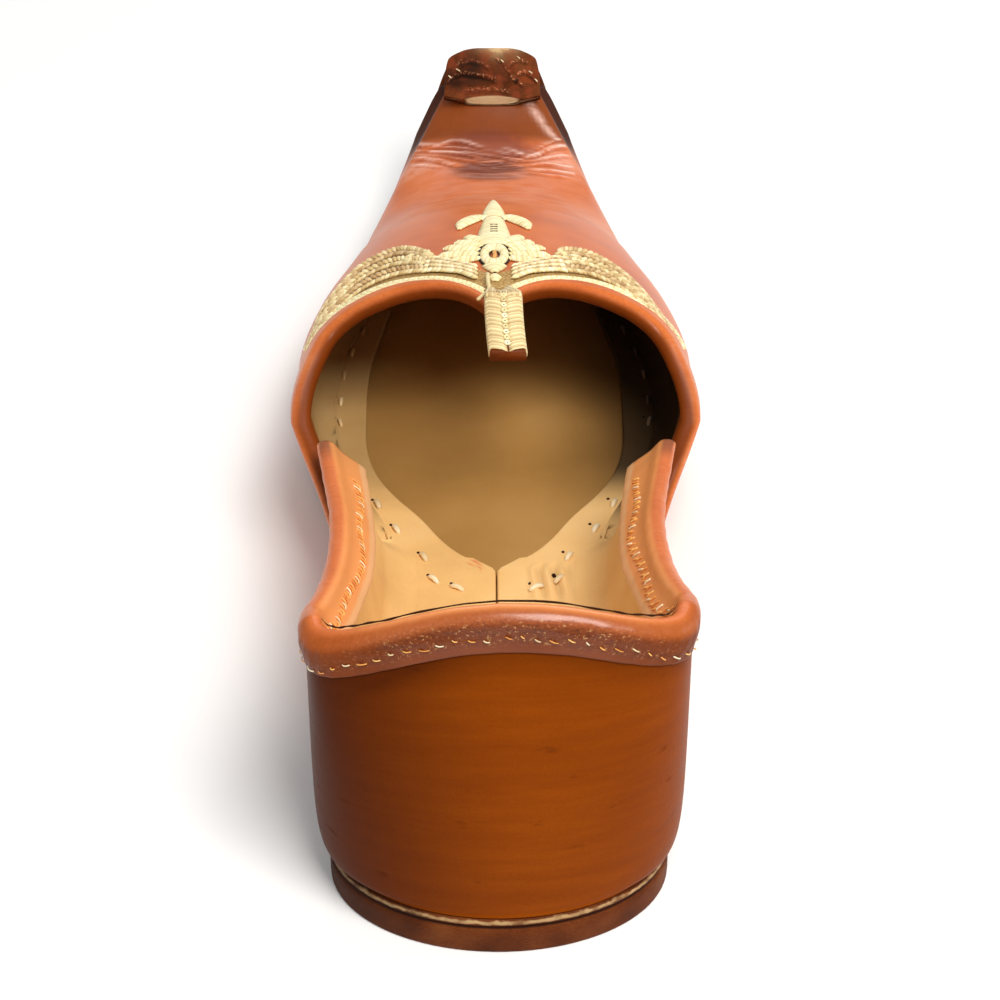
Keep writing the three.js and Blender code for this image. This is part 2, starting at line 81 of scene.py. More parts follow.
def ease(at, low, high):
    """0 below low, 1 above high, and a smooth step between."""
    share = np.clip((np.asarray(at, float) - low) / (high - low), 0, 1)
    return share * share * (3 - 2 * share)


def read(table, column, at):
    """One column of a table at some places, by a smooth curve through its rows."""
    places, values = table[:, 0], table[:, column]
    rows = len(places)
    order = np.arange(rows)
    before, after = np.maximum(order - 1, 0), np.minimum(order + 1, rows - 1)
    slopes = (values[after] - values[before]) / (places[after] - places[before])
    at = np.asarray(at, float)
    i = np.clip(np.searchsorted(places, at) - 1, 0, rows - 2)
    step = places[i + 1] - places[i]
    t = np.clip((at - places[i]) / step, 0, 1)
    start = values[i] * (2 * t**3 - 3 * t**2 + 1) + slopes[i] * step * (t**3 - 2 * t**2 + t)
    end = values[i + 1] * (3 * t**2 - 2 * t**3) + slopes[i + 1] * step * (t**3 - t**2)
    return start + end


print(f"a smooth step has climbed {ease(0.25, 0, 1):.3f} after a quarter of its way")


# %% [markdown]
# The tread is the underside of the sole seen from the side: flat, then the toe's curl, the fold and the flap.
# It is stored as many short steps with their running length, because leather is measured along itself.

# %% Tread of the sole
def heading(degrees):
    return np.array([math.cos(math.radians(degrees)), math.sin(math.radians(degrees))])


def unit(vectors):
    return vectors / np.linalg.norm(vectors, axis=-1)[..., None]


def running_length(line):
    """How far along a line each of its places lies."""
    return np.concatenate([[0], np.cumsum(np.linalg.norm(np.diff(line, axis=0), axis=1))])


fold_centre = np.array([length - fold_radius, toe_height - fold_radius])
fold_start = fold_centre + fold_radius * heading(curl_angle - 90)
fold_end = fold_centre + fold_radius * heading(fold_angle - 90)


def tread_path():
    """Points and headings of the tread, its running length, and that length at both ends of the fold."""
    t = np.linspace(0, 1, 500)[:, None]
    p0, p3 = np.array([spring_start, 0.0]), fold_start
    p1 = np.array([lerp(spring_start, fold_start[0], 0.42), 0.0])
    p2 = fold_start - 0.65 * fold_start[1] * heading(curl_angle)
    curl = p0 * (1 - t) ** 3 + 3 * p1 * t * (1 - t) ** 2 + 3 * p2 * t**2 * (1 - t) + p3 * t**3
    turns = np.radians(np.linspace(curl_angle - 90, fold_angle - 90, 200))[:, None]
    fold = fold_centre + fold_radius * np.hstack([np.cos(turns), np.sin(turns)])
    flap = fold_end + np.linspace(0, flap_length, 40)[:, None] * heading(fold_angle)
    path = np.vstack([[[0.0, 0.0]], curl, fold[1:], flap[1:]])
    run = running_length(path)
    tangent = np.gradient(path, run, axis=0)
    tangent[:2] = (1, 0)
    return path, unit(tangent), run, run[len(curl)], run[len(curl) + len(fold) - 1]


tread, tread_heading, tread_run, fold_at, turn_length = tread_path()
strip_length = tread_run[-1]
crest_at = (fold_at + turn_length) / 2


def climb(share):
    return lerp(spring_start, fold_at, share)


print(f"tread: fold starts at {fold_at:.1f} mm, strip ends at {strip_length:.1f} mm")


# %% [markdown]
# Seen from above, the sole is one outline. Each row below is a place along the tread and the half width
# there: round heel, narrow waist, broad ball, and a strip that narrows up the toe and widens into the flap.
# A second table holds the thickness, since the leather is skived thin towards the tip.

# %% Outline of the sole
outline = np.array(
    [
        (heel_depth, 0.5 * heel_width),
        (0.13 * length, 0.488 * heel_width),
        (0.23 * length, 0.55 * waist_width),
        (0.34 * length, 0.5 * waist_width),
        (0.42 * length, 0.545 * waist_width),
        (0.485 * length, 0.388 * ball_width),
        (0.54 * length, 0.445 * ball_width),
        (0.6 * length, 0.46 * ball_width),
        (0.66 * length, 0.445 * ball_width),
        (0.72 * length, 0.4 * ball_width),
        (climb(0.05), 0.355 * ball_width),
        (climb(0.28), 0.32 * ball_width),
        (climb(0.54), 0.262 * ball_width),
        (climb(0.73), 0.625 * toe_width),
        (climb(0.88), 0.5 * toe_width),
        (fold_at, 0.375 * toe_width),
        (lerp(fold_at, crest_at, 0.5), 0.43 * fold_width + 0.18 * flap_width),
        (crest_at, 0.5 * fold_width),
        (lerp(crest_at, turn_length, 0.5), 0.43 * fold_width + 0.18 * flap_width),
        (turn_length, 0.46 * flap_width),
        (strip_length, 0.5 * flap_width),
    ]
)
sole_depths = np.array(
    [
        (0, heel_thickness),
        (0.25 * length, heel_thickness),
        (0.45 * length, fore_thickness),
        (spring_start, fore_thickness),
        (climb(0.6), lerp(fore_thickness, tip_thickness, 0.7)),
        (fold_at, tip_thickness),
        (strip_length, tip_thickness),
    ]
)


def sole_half(along):
    back = 1 - np.clip(along, 0, heel_depth) / heel_depth
    heel = 0.5 * heel_width * np.sqrt(np.clip(1 - back * back, 0, 1))
    return np.where(np.asarray(along) >= heel_depth, read(outline, 1, along), heel)


def sole_thickness(along):
    return read(sole_depths, 1, along)


def over_tread(along, across, up):
    """A place over the tread: along it, across it, and up from it at a right angle."""
    along, across, up = np.broadcast_arrays(*(np.asarray(v, float) for v in (along, across, up)))
    y, z = (np.interp(along, tread_run, tread[:, k]) for k in (0, 1))
    c, s = (np.interp(along, tread_run, tread_heading[:, k]) for k in (0, 1))
    return np.stack([across, y - up * s, z + up * c], -1)


def over_sole(along, across, up):
    return over_tread(along, across, sole_thickness(along) + up)


print(f"the sole is {2 * sole_half(0.6 * length):.1f} mm wide at the ball")


# %% [markdown]
# The upper stands on the sole. Its wall flares out from the seam and bellies over the sole's edge, as wet
# leather does when it is pulled over a last. The quarter goes round the heel, and its top edge is the
# collar: rows of a place along the shoe, the half width and the share of the height, with a hump behind.

# %% Surface of the quarter
def wall_half(seam, widest, share):
    share = np.clip(share, 0, 1)
    return lerp(seam, widest, share) + belly * np.sin(math.pi * share**0.35)


def tuck(at):
    return (wall + lap) * ease(at, 0.74 * wing_end, 0.98 * wing_end)


collar = np.array(
    [
        (heel_depth, 0.49 * collar_width, 1),
        (0.105 * length, 0.473 * collar_width, 0.96),
        (0.141 * length, 0.449 * collar_width, 0.9),
        (0.18 * length, 0.433 * collar_width, 0.845),
        (0.22 * length, 0.427 * collar_width, 0.805),
        (0.265 * length, 0.433 * collar_width, 0.76),
        (0.315 * length, 0.455 * collar_width, 0.705),
        (quarter_end, 0.492 * collar_width, 0.65),
    ]
)
heel_share = 0.42


def seam_height(at):
    return sole_thickness(at) + clearance


def side_half(at, share):
    seam = sole_half(at) - seam_inset - tuck(at)
    return wall_half(seam, read(collar, 1, at), share)


def collar_top(x, at, part):
    sideways = x / (0.5 * collar_width)
    back = np.cos(math.pi / 2 * np.clip(np.abs(sideways), 0, 1))
    height = corner_height * read(collar, 2, np.maximum(at, heel_depth))
    hump = np.where(part < heel_share, collar_peak * back**1.2, 0)
    return height + hump + collar_tilt * sideways * (1 - ease(at, heel_depth, quarter_end))


def on_quarter(around, share, inset):
    """A place on the quarter: around from -1, left front, to 1, right front; share from seam to collar."""
    around, share, inset = np.broadcast_arrays(*(np.asarray(v, float) for v in (around, share, inset)))
    side, part = np.where(around < 0, -1, 1), np.abs(around)
    back_at = lerp(heel_back, collar_lean, share**2) + inset
    round_end = lerp(heel_depth, collar_round, share)
    corner = lerp(1, 0.42, np.clip(share, 0, 9) ** 1.5)
    angle = np.clip(part / heel_share, 0, 1) * math.pi / 2
    sine, cosine = np.sin(angle), np.maximum(np.cos(angle), 1e-9)
    heel_x = (side_half(round_end, share) - inset) * sine**corner
    heel_at = lerp(round_end, back_at, cosine**corner)
    side_at = lerp(round_end, quarter_end, (part - heel_share) / (1 - heel_share))
    is_back = part < heel_share
    at = np.where(is_back, heel_at, side_at)
    x = np.where(is_back, heel_x, side_half(side_at, share) - inset) * side
    height = lerp(seam_height(at), collar_top(x, at, part), share)
    return np.stack([x, at, height], -1)


def under_collar(around, down):
    """Share of the wall's height that lies some way under the collar."""
    height = np.linalg.norm(on_quarter(around, 1, 0) - on_quarter(around, 0, 0), axis=-1)
    return 1 - down / height


print(f"the collar is {on_quarter(0, 1, 0)[2]:.1f} mm high behind, {on_quarter(1, 1, 0)[2]:.1f} mm in front")


# %% [markdown]
# The vamp arches over the foot. Each row of its table is one cross section: the place along the sole, the
# half width, the height where it is widest and the height of the ridge. The arch is part of an ellipse
# above its widest place and a flared wall below, and every height is measured square to the tread.

# %% Surface of the vamp
vamp_rows = np.array(
    [
        (
            at,
            half + wall + lap,
            corner_height * height - seam_height(at),
            instep_height - seam_height(at),
        )
        for at, half, height in collar[4:]
    ]
    + [
        (0.465 * length, 0.482 * ball_width, 0.5 * instep_height, 0.895 * instep_height),
        (0.54 * length, 0.49 * ball_width, 0.34 * instep_height, 0.868 * instep_height),
        (0.6 * length, 0.5 * ball_width, 0.24 * instep_height, 0.8 * instep_height),
        (0.67 * length, 0.469 * ball_width, 0.19 * instep_height, 0.705 * instep_height),
        (0.73 * length, 0.416 * ball_width, 0.17 * instep_height, 0.62 * instep_height),
        (climb(0.05), 0.379 * ball_width, 0.15 * instep_height, 0.54 * instep_height),
        (climb(0.28), 0.34 * ball_width, 0.12 * instep_height, 0.4 * instep_height),
        (climb(0.54), 0.274 * ball_width, 0.09 * instep_height, 0.25 * instep_height),
        (climb(0.73), 0.615 * toe_width, 0.07 * instep_height, 0.16 * instep_height),
        (climb(0.88), 0.44 * toe_width, 0.045 * instep_height, 0.12 * instep_height),
        (fold_at - vamp_end, 0.36 * toe_width, 0.035 * instep_height, 0.098 * instep_height),
    ]
)
widest_arc = 0.5


def on_vamp(along, arc, inset):
    """A place on the vamp: along the sole, arc from -1 at the left seam over the ridge to 1 at the right."""
    along, arc, inset = np.broadcast_arrays(*(np.asarray(v, float) for v in (along, arc, inset)))
    side, part = np.where(arc < 0, -1, 1), np.abs(arc)
    half = read(vamp_rows, 1, along) - inset
    seam = np.minimum(sole_half(along) - seam_inset, half + inset) - inset
    widest, ridge = read(vamp_rows, 2, along), read(vamp_rows, 3, along) - inset
    share = (1 - part) / (1 - widest_arc)
    angle = np.clip(part / widest_arc, 0, 1) * math.pi / 2
    low = part > widest_arc
    across = np.where(low, wall_half(seam, half, share), half * np.sin(angle))
    up = np.where(low, widest * share, lerp(widest, ridge, np.cos(angle)))
    return over_sole(along, side * across, clearance + up)


print(f"the ridge rises to {on_vamp(throat_front, 0, 0)[2]:.1f} mm where the throat ends")


# %% [markdown]
# The throat is the vamp's free edge, cut as a heart. Its rows run from the dip in the middle to the tip of a
# wing, and hold the place along the sole and the share of the arch. The vamp's grid starts from this edge
# and spreads to the seam, so that bindings and embroidery can follow the throat by one number.

# %% Edge of the throat
def lobe(share):
    return lerp(throat_dip, throat_front, share)


def wing(share):
    return lerp(wing_end, throat_front, share)


throat = np.array(
    [
        (0, lobe(0), 0),
        (0.04, lobe(0.36), 0.02),
        (0.08, lobe(0.69), 0.055),
        (0.13, lobe(0.9), 0.1),
        (0.19, lobe(0.99), 0.15),
        (0.26, lobe(1), 0.21),
        (0.33, wing(0.996), 0.27),
        (0.4, wing(0.96), 0.335),
        (0.48, wing(0.848), 0.392),
        (0.56, wing(0.7), 0.455),
        (0.64, wing(0.549), 0.56),
        (0.72, wing(0.45), 0.67),
        (0.8, wing(0.327), 0.79),
        (0.9, wing(0.158), 0.89),
        (1, wing(0), 0.955),
    ]
)
toe_share = 0.12


def vamp_grid(around, out):
    """Along and arc of a place on the vamp: around from the left wing to the right, out from the throat."""
    around, out = np.broadcast_arrays(np.asarray(around, float), np.asarray(out, float))
    side, part = np.where(around < 0, -1, 1), np.abs(around)
    back = np.clip((part - toe_share) / (1 - toe_share), 0, 1)
    front = fold_at - vamp_end
    outer_arc = np.clip(part / toe_share, 0, 1)
    along = lerp(read(throat, 1, part), lerp(front, wing_end, back), out)
    return along, side * lerp(read(throat, 2, part), outer_arc, out)


print("throat opens from", throat_dip, "to", throat_front, "mm from the heel")


# %% [markdown]
# Every surface above is a function of two numbers, so a piece is a grid of places joined by four-sided
# faces. A strip that goes round is a row of rings, joined the same way and closed at both ends.

# %% Faces of grids and rings
def grid_faces(columns, rows, first=0, wrap=False, turn=False):
    """Quads of a grid that is stored row by row; wrap joins its last column to its first."""
    i = np.arange(columns if wrap else columns - 1)
    j = np.arange(rows - 1)[:, None]
    here, beside = first + j * columns + i, first + j * columns + (i + 1) % columns
    quads = np.stack([here, beside, beside + columns, here + columns], -1).reshape(-1, 4)
    return quads[:, ::-1] if turn else quads


def tube_faces(stations, count):
    """Faces of rings joined along a strip, with both ends closed by one face each."""
    quads = [list(f) for f in grid_faces(count, stations, wrap=True)]
    last = (stations - 1) * count
    return quads + [list(range(count))[::-1], [last + k for k in range(count)]]


def plate_faces(stations, count, levels):
    """Faces of a plate's rings, with the back end closed level by level, so that it shades like the edge."""
    columns = count // 2 - levels
    low = 2 * levels + columns - 1
    faces = tube_faces(stations, count)
    back = [[low - k, low - k - 1, k + 1, k] for k in range(levels - 1)]
    top = list(range(levels - 1, levels + columns + 1))[::-1]
    under = [0] + list(range(low, count))[::-1]
    return faces[:-2] + faces[-1:] + back + [top, under]


print("a grid of 4 by 3 places has", len(grid_faces(4, 3)), "faces")


# %% [markdown]
# Three helpers turn grids into pieces: any mesh, a closed sheet between two faces, and a strip of rings.
# A piece keeps marks at its places, such as where it is worn or how far along the leather a place lies. The
# finishes read those, because a place in space doesn't tell a finish where on the leather it is.

# %% Pieces
def make_piece(name, points, faces, finishes, face_finish=None, marks=None, node=None, slot=None):
    """A smooth mesh from places in millimetres; marks are numbers or triples kept at each of them."""
    mesh = bpy.data.meshes.new(name)
    spots = (points.reshape(-1, 3) - (0, length / 2, 0)) / 1000
    mesh.from_pydata(spots.tolist(), [], [list(map(int, face)) for face in faces])
    for finish in finishes:
        mesh.materials.append(finish)
    if face_finish is not None:
        mesh.polygons.foreach_set("material_index", np.asarray(face_finish, np.int32))
    for mark, values in (marks or {}).items():
        parts = values if isinstance(values, tuple) else (values,)
        filled = np.stack([np.broadcast_to(part, points.shape[:-1]) for part in parts], -1)
        kind, key = ("FLOAT_VECTOR", "vector") if len(parts) == 3 else ("FLOAT", "value")
        layer = mesh.attributes.new(mark, kind, "POINT")
        layer.data.foreach_set(key, filled.astype(np.float32).ravel())
    mesh.polygons.foreach_set("use_smooth", np.ones(len(mesh.polygons), bool))
    mesh.validate()
    mesh.update()
    piece = bpy.data.objects.new(name, mesh)
    bpy.context.scene.collection.objects.link(piece)
    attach(piece, "root")
    if node:
        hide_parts(node)
    print(f"{name}: {len(spots)} points, {len(faces)} faces")


def shell_piece(name, outer, inner, finish, **more):
    """A closed sheet between an outer and an inner grid of places."""
    rows, columns = outer.shape[:2]
    count = rows * columns
    faces = [grid_faces(columns, rows, 0), grid_faces(columns, rows, count, turn=True)]
    down = np.arange(rows - 1) * columns
    across = np.arange(columns - 1)
    left = np.stack([down, down + columns, down + columns + count, down + count], -1)
    right = (left + columns - 1)[:, ::-1]
    low = np.stack([across, across + count, across + count + 1, across + 1], -1)
    high = (low + (rows - 1) * columns)[:, ::-1]
    faces += [left[:, ::-1], right[:, ::-1], low[:, ::-1], high[:, ::-1]]
    make_piece(name, np.stack([outer, inner]), np.concatenate(faces), [finish], **more)


def ring_piece(name, rings, finish, **more):
    make_piece(name, rings, tube_faces(*rings.shape[:2]), [finish], **more)


print("helpers for pieces:", [helper.__name__ for helper in (make_piece, shell_piece, ring_piece)])


# %% [markdown]
# Leather is a mix of simple facts: a dyed colour that varies slowly, a fine grain, scuffs where it rubs, and
# wax on top. Each fact is an expression of noise and marks. This class wraps a socket of a shader node, so
# that such an expression is written as plain Python and each operator in it adds one Math node.

# %% Shader expressions
class Socket:
    """A shader socket that can be used in sums."""

    def __init__(self, finish, socket):
        self.finish, self.socket = finish, socket

    def sum(self, operation, first, second):
        return self.finish.node("ShaderNodeMath", {"operation": operation}, {0: first, 1: second})

    def __add__(self, other):
        return self.sum("ADD", self, other)

    def __sub__(self, other):
        return self.sum("SUBTRACT", self, other)

    def __rsub__(self, other):
        return self.sum("SUBTRACT", other, self)

    def __mul__(self, other):
        return self.sum("MULTIPLY", self, other)

    __radd__, __rmul__ = __add__, __mul__

    def part(self, axis):
        return self.finish.node("ShaderNodeSeparateXYZ", {}, {0: self}, output=axis)

    def over(self, low, high):
        """0 where the value is low, 1 where it is high, smooth between."""
        sockets = {"Value": self, "From Min": low, "From Max": high}
        settings = {"interpolation_type": "SMOOTHSTEP"}
        return self.finish.node("ShaderNodeMapRange", settings, sockets)


print("a socket knows", [name for name in vars(Socket) if name.startswith("__r")])


# %% [markdown]
# A finish is one material. Every node it needs comes from the same method, which takes the node's type, its
# settings and what its sockets hold. The short methods after it name what is used most: noise of some size
# in millimetres, a mark of the mesh, a row of dyes, colours laid over one another, and a raised grain.

# %% Finishes
class Finish:
    """One material, built node by node around its Principled shader."""

    def __init__(self, name, numbers):
        self.material = bpy.data.materials.new(name)
        self.material.use_nodes = True
        self.tree = self.material.node_tree
        self.shader = self.tree.nodes["Principled BSDF"]
        for socket, value in numbers.items():
            self.shader.inputs[socket].default_value = value

    def node(self, kind, settings=None, sockets=None, output=0):
        node = self.tree.nodes.new(kind)
        for key, value in (settings or {}).items():
            if key == "stops":
                self.set_stops(node.color_ramp, value)
            else:
                setattr(node, key, value)
        for key, value in (sockets or {}).items():
            self.feed(node.inputs[key], value)
        return Socket(self, node.outputs[output])

    def set_stops(self, ramp, stops):
        while len(ramp.elements) < len(stops):
            ramp.elements.new(0.5)
        for element, (place, colour) in zip(ramp.elements, stops):
            element.position, element.color = place, colour

    def feed(self, socket, value):
        if isinstance(value, Socket):
            self.tree.links.new(value.socket, socket)
        else:
            socket.default_value = value

    def set(self, name, value):
        self.feed(self.shader.inputs[name], value)

    def places(self, stretch=(1, 1, 1)):
        """Places on the object in millimetres, stretched to draw a grain out along one direction."""
        spot = self.node("ShaderNodeTexCoord", output="Object")
        sockets = {0: spot, 1: tuple(1000 * s for s in stretch)}
        return self.node("ShaderNodeVectorMath", {"operation": "MULTIPLY"}, sockets)

    def mark(self, name, output="Fac"):
        return self.node("ShaderNodeAttribute", {"attribute_name": name}, output=output)

    def noise(self, size, where=None, detail=2.0, roughness=0.5):
        """Noise from 0 to 1 with features about size millimetres across."""
        sockets = {"Vector": where or self.places(), "Scale": 1 / size, "Detail": detail}
        return self.node("ShaderNodeTexNoise", {}, {**sockets, "Roughness": roughness})

    def dyed(self, tone, stops):
        """The colour of a tone from 0 to 1, between stops of a tone and a colour."""
        return self.node("ShaderNodeValToRGB", {"stops": stops}, {0: tone})

    def blend(self, share, first, second):
        return self.node("ShaderNodeMix", {"data_type": "RGBA"}, {0: share, 6: first, 7: second}, output=2)

    def layered(self, colour, layers):
        """Colours laid over one another, each with the share that it covers."""
        for share, laid in layers:
            colour = self.blend(share, colour, laid)
        return colour

    def done(self, colour, roughness, height, depth):
        """The finished material, its grain a height of 0 to 1 that is depth millimetres high."""
        self.set("Base Color", colour)
        self.set("Roughness", roughness)
        sockets = {"Height": height, "Distance": depth / 1000, "Strength": 1.0}
        self.set("Normal", self.node("ShaderNodeBump", {}, sockets))
        print(f"{self.material.name}: {len(self.tree.nodes)} nodes")
        return self.material


def dye(red, green, blue):
    """A colour picked on a screen, from 0 to 255, as the light it stands for."""
    shares = np.array([red, green, blue]) / 255
    light = np.where(shares <= 0.04045, shares / 12.92, ((shares + 0.055) / 1.055) ** 2.4)
    return (*light.tolist(), 1.0)


print("half grey on a screen is", round(dye(128, 128, 128)[0], 3), "of the light")


# %% [markdown]
# The sole is one thick strip of dark leather, cut square and rubbed smooth along its edge. At the toe the
# same strip narrows, curls up and is folded back over the tip of the vamp, where its cut end shows pale.
# The finish is a dark dye with its raw lip and the flap's wear laid over it, with painted shade in the
# groove of the edge, on the sole's left side and in the flap's dents and slits, and painted highlights on
# the crest of the fold and the ridges of the flap's folds.

# %% Sole leather
def sole_finish():
    finish = Finish("sole leather", {"Specular IOR Level": 0.07})
    lay = finish.mark("lay", "Vector")
    along, up = lay.part("Y"), lay.part("Z")
    cloud = finish.noise(9, detail=4)
    fibre = finish.noise(0.7, finish.places((1, 1, 3)), detail=4, roughness=0.7)
    brown = [(0.25, dye(46, 18, 6)), (0.5, dye(98, 46, 16)), (0.8, dye(136, 76, 34))]
    # Painted shade: the groove of the edge is darkened almost to black.
    painted_groove_shade = up.over(0.7, 0.75) * (1 - up.over(0.8, 0.84))
    ragged = up + (finish.noise(1.6, detail=4) - 0.5) * 0.12
    flat = 1 - along.over(spring_start, spring_start + 15)
    lip = ragged.over(0.86, 0.9) * (1 - ragged.over(0.95, 0.99)) * flat
    broken = 0.25 + 0.75 * finish.noise(2.4, detail=3).over(0.35, 0.6)
    speck = finish.noise(0.5, detail=3, roughness=0.7).over(0.52, 0.6)
    patch = finish.noise(2.6, detail=3).over(0.45, 0.6) * finish.mark("flap")
    raw = finish.mark("raw")
    layers = [
        (painted_groove_shade * 0.85, dye(22, 8, 4)),
        (lip * broken, dye(186, 150, 104)),
        # A painted highlight on the crest of the fold.
        (finish.mark("lit") * (0.5 + 0.7 * fibre), dye(244, 204, 146)),
        # Painted highlights: pale specks on the ridges of the flap's folds.
        (finish.mark("fold") * speck, dye(226, 150, 108)),
        (patch * 0.5, dye(138, 60, 30)),
        # Painted shade: the flap's dents and slits, dark spots under its folds, and the sole's left side.
        (finish.mark("dull"), dye(34, 16, 6)),
        (raw * (0.75 + 0.25 * fibre), dye(214, 184, 140)),
    ]
    colour = finish.layered(finish.dyed(cloud * 0.6 + fibre * 0.4, brown), layers)
    return finish.done(colour, 0.42 + fibre * 0.25 + raw * 0.3, cloud * 0.5 + fibre * 0.5, 0.25)


sole_leather = sole_finish()


# %% [markdown]
# The sole and all that lies on it are flat plates along the tread. An outline pushed up would give one large
# face above and below. A ring across the plate at every step keeps the faces even, and its profile carries
# the groove of the edge round the heel as well.

# %% Plates along the tread
def plate(at, left, right, profile, place, columns):
    """Rings across a flat piece: the right edge up, the top, the left edge down and the underside."""
    at, left, right = (np.asarray(v, float) for v in (at, left, right))
    loop = np.concatenate([np.stack([right, at], 1), np.stack([left, at], 1)[::-1]])
    run = unit(np.roll(loop, -1, 0) - np.roll(loop, 1, 0))
    inward = np.stack([-run[:, 1], run[:, 0]], 1)
    insets, ups = np.array(profile, float).T
    edge = loop + inward * insets[:, None, None]
    right_edge, left_edge = edge[:, : len(at)], edge[:, : len(at) - 1 : -1]
    share = (np.arange(columns) + 1)[:, None, None] / (columns + 1)
    top = lerp(right_edge[-1], left_edge[-1], share)
    under = lerp(left_edge[0], right_edge[0], share)
    ring = np.concatenate([right_edge, top, left_edge[::-1], under]).transpose(1, 0, 2)
    up = np.concatenate([ups, np.full(columns, ups[-1]), ups[::-1], np.full(columns, ups[0])])
    across, along = ring[..., 0], ring[..., 1]
    up = np.broadcast_to(up, across.shape)
    return place(along, across, up), np.stack([along, across, up], -1)


heel_row_count = 24


def heel_rows(start, depth):
    """Places round a heel, closest together where it turns most."""
    angles = np.radians(np.concatenate([[0.3, 1], np.linspace(2.5, 86, heel_row_count - 2)]))
    return start + depth * (1 - np.cos(angles))


print(f"rows round the heel start {heel_rows(0, heel_depth)[0]:.4f} mm from its back")


# %% [markdown]
# The end of the strip was hammered flat on the vamp, which left lumps and sharp folds in it. Simulated
# leather would fold somewhere else, so they are charted one by one: a lump is a soft hill, a fold is a line
# with a ridge on it and a dark slit beside it. The vamp's creases use the same helpers further down.

# %% Lumps and folds of the flap
def bump(at, middle, spread):
    """1 at the middle, fading to 0 on both sides."""
    return np.exp(-(((at - middle) / spread) ** 2))


def spot(along, across, middle, spread):
    """1 at one place of a surface, fading to 0 all round it."""
    return np.exp(-(((along - middle[0]) / spread[0]) ** 2) - ((across - middle[1]) / spread[1]) ** 2)


def window(at, rise, fall):
    """0, then 1 after the rise, then 0 again after the fall."""
    return ease(at, *rise) * (1 - ease(at, *fall))


def charted(lines, along, across, outside, inside):
    """The height of each charted line at each place, and how many half widths off its ridge the place is."""
    for line, rise, half_width in lines:
        places, runs = np.array(line).T
        first = (places[0] - outside, places[0] + inside)
        last = (places[-1] - inside, places[-1] + outside)
        off = (along - np.interp(across, places, runs)) / half_width
        yield rise * window(across, first, last), off


# Lumps of the flap, where it was hammered down: along, across, their two spreads and their rise.
flap_lumps = [
    (287, -5, 3, 3.4, 0.5),
    (290, -8.5, 1.6, 2.4, -0.45),
    (292.6, -3.5, 1.3, 4.5, -0.4),
    (289.5, 0.6, 2.2, 1.7, 0.45),
    (291.6, 3.2, 1.6, 1.4, -0.5),
    (288.6, 5.4, 1.6, 2.2, 0.5),
    (293.4, 7.6, 1.4, 2, 0.4),
    (291.2, 9.6, 1.5, 1.3, -0.4),
    (294.2, -8.2, 1.5, 2.6, 0.4),
    (294.6, 1.4, 1.1, 3.2, 0.3),
    (285, 2.6, 1.6, 2.6, -0.35),
]


# Sharp folds of the flap: (across, along) places on each, its rise and its half width.
flap_folds = [
    ([(-10.5, 292.4), (-9, 290.6), (-7.2, 290), (-4.1, 290.5), (-1, 291), (1.2, 292)], 0.5, 0.42),
    ([(-8.4, 287.8), (-5.2, 287), (-2.4, 287.6), (-0.4, 289.2)], 0.3, 0.5),
    ([(0.6, 286.2), (2.2, 287.2), (3.6, 289.4), (4.8, 291.6), (7.2, 293.4)], 0.45, 0.4),
    ([(3.4, 288.9), (5.1, 287.2), (6.6, 286.8), (8.4, 287.5)], 0.4, 0.4),
    ([(5.6, 290.6), (7.4, 289.8), (9.2, 290.6), (10.6, 292.6)], 0.45, 0.4),
    ([(-6.5, 294.6), (-3, 293.8), (1, 294), (4, 294.8)], 0.3, 0.5),
]
slit_offset = 1.7


def fold_height(along, across):
    """Ridges of the flap's folds, and the slit beside each, whose darkness is painted shade."""
    ridge, slit = 0, 0
    for height, off in charted(flap_folds, along, across, 0.4, 0.6):
        ridge = ridge + height * bump(off, 0, 1)
        slit = slit + height * bump(off, slit_offset, 1)
    return ridge, slit


def flap_relief(along, across):
    lumps = 0
    for middle_along, middle_across, along_spread, across_spread, rise in flap_lumps:
        middle, spread = (middle_along, middle_across), (along_spread, across_spread)
        lumps = lumps + rise * spot(along, across, middle, spread)
    return lumps


def flap_side(across):
    """-1 at the flap's left edge, 1 at its right."""
    return np.clip(across / (0.5 * flap_width), -1, 1)


def raw_start(across):
    """Where the pale cut begins: a lens in the middle of the flap's end, which is skived thin."""
    lens = np.clip(1 - (flap_side(across) / 0.58) ** 2, 0, 1) ** 0.8
    return strip_length - (0.1 + 1.5 * lens)


print(f"the pale cut is {strip_length - raw_start(0):.1f} mm long in the middle of the flap")


# %% [markdown]
# The sole itself is one plate from the back of the heel to the end of the flap. Its waist is lifted a
# little off the ground, as a walked-in sole is. The strip turns over at the fold, so the lumps and folds of
# the flap go into the tread's own side, which is the side that shows there.

# %% Sole
sole_rows = [
    heel_rows(0, heel_depth),
    np.linspace(heel_depth, spring_start, 120),
    np.linspace(spring_start, fold_at, 60)[1:],
    np.linspace(fold_at, turn_length, 28)[1:],
    np.linspace(turn_length, strip_length, 70)[1:],
]
# The edge of the sole from below: how far it is cut in, and how high that is as a share of the thickness.
sole_profile = [
    (0.9 * edge_round, 0),
    (0.35 * edge_round, 0.02),
    (0.1 * edge_round, 0.07),
    (0, 0.2),
    (0, 0.45),
    (0, 0.68),
    (0.6 * groove_depth, 0.71),
    (groove_depth, 0.74),
    (groove_depth, 0.79),
    (0.6 * groove_depth, 0.82),
    (0.1 * edge_round, 0.85),
    (0.1 * edge_round, 0.93),
    (0.35 * edge_round, 0.98),
    (0.9 * edge_round, 1),
]


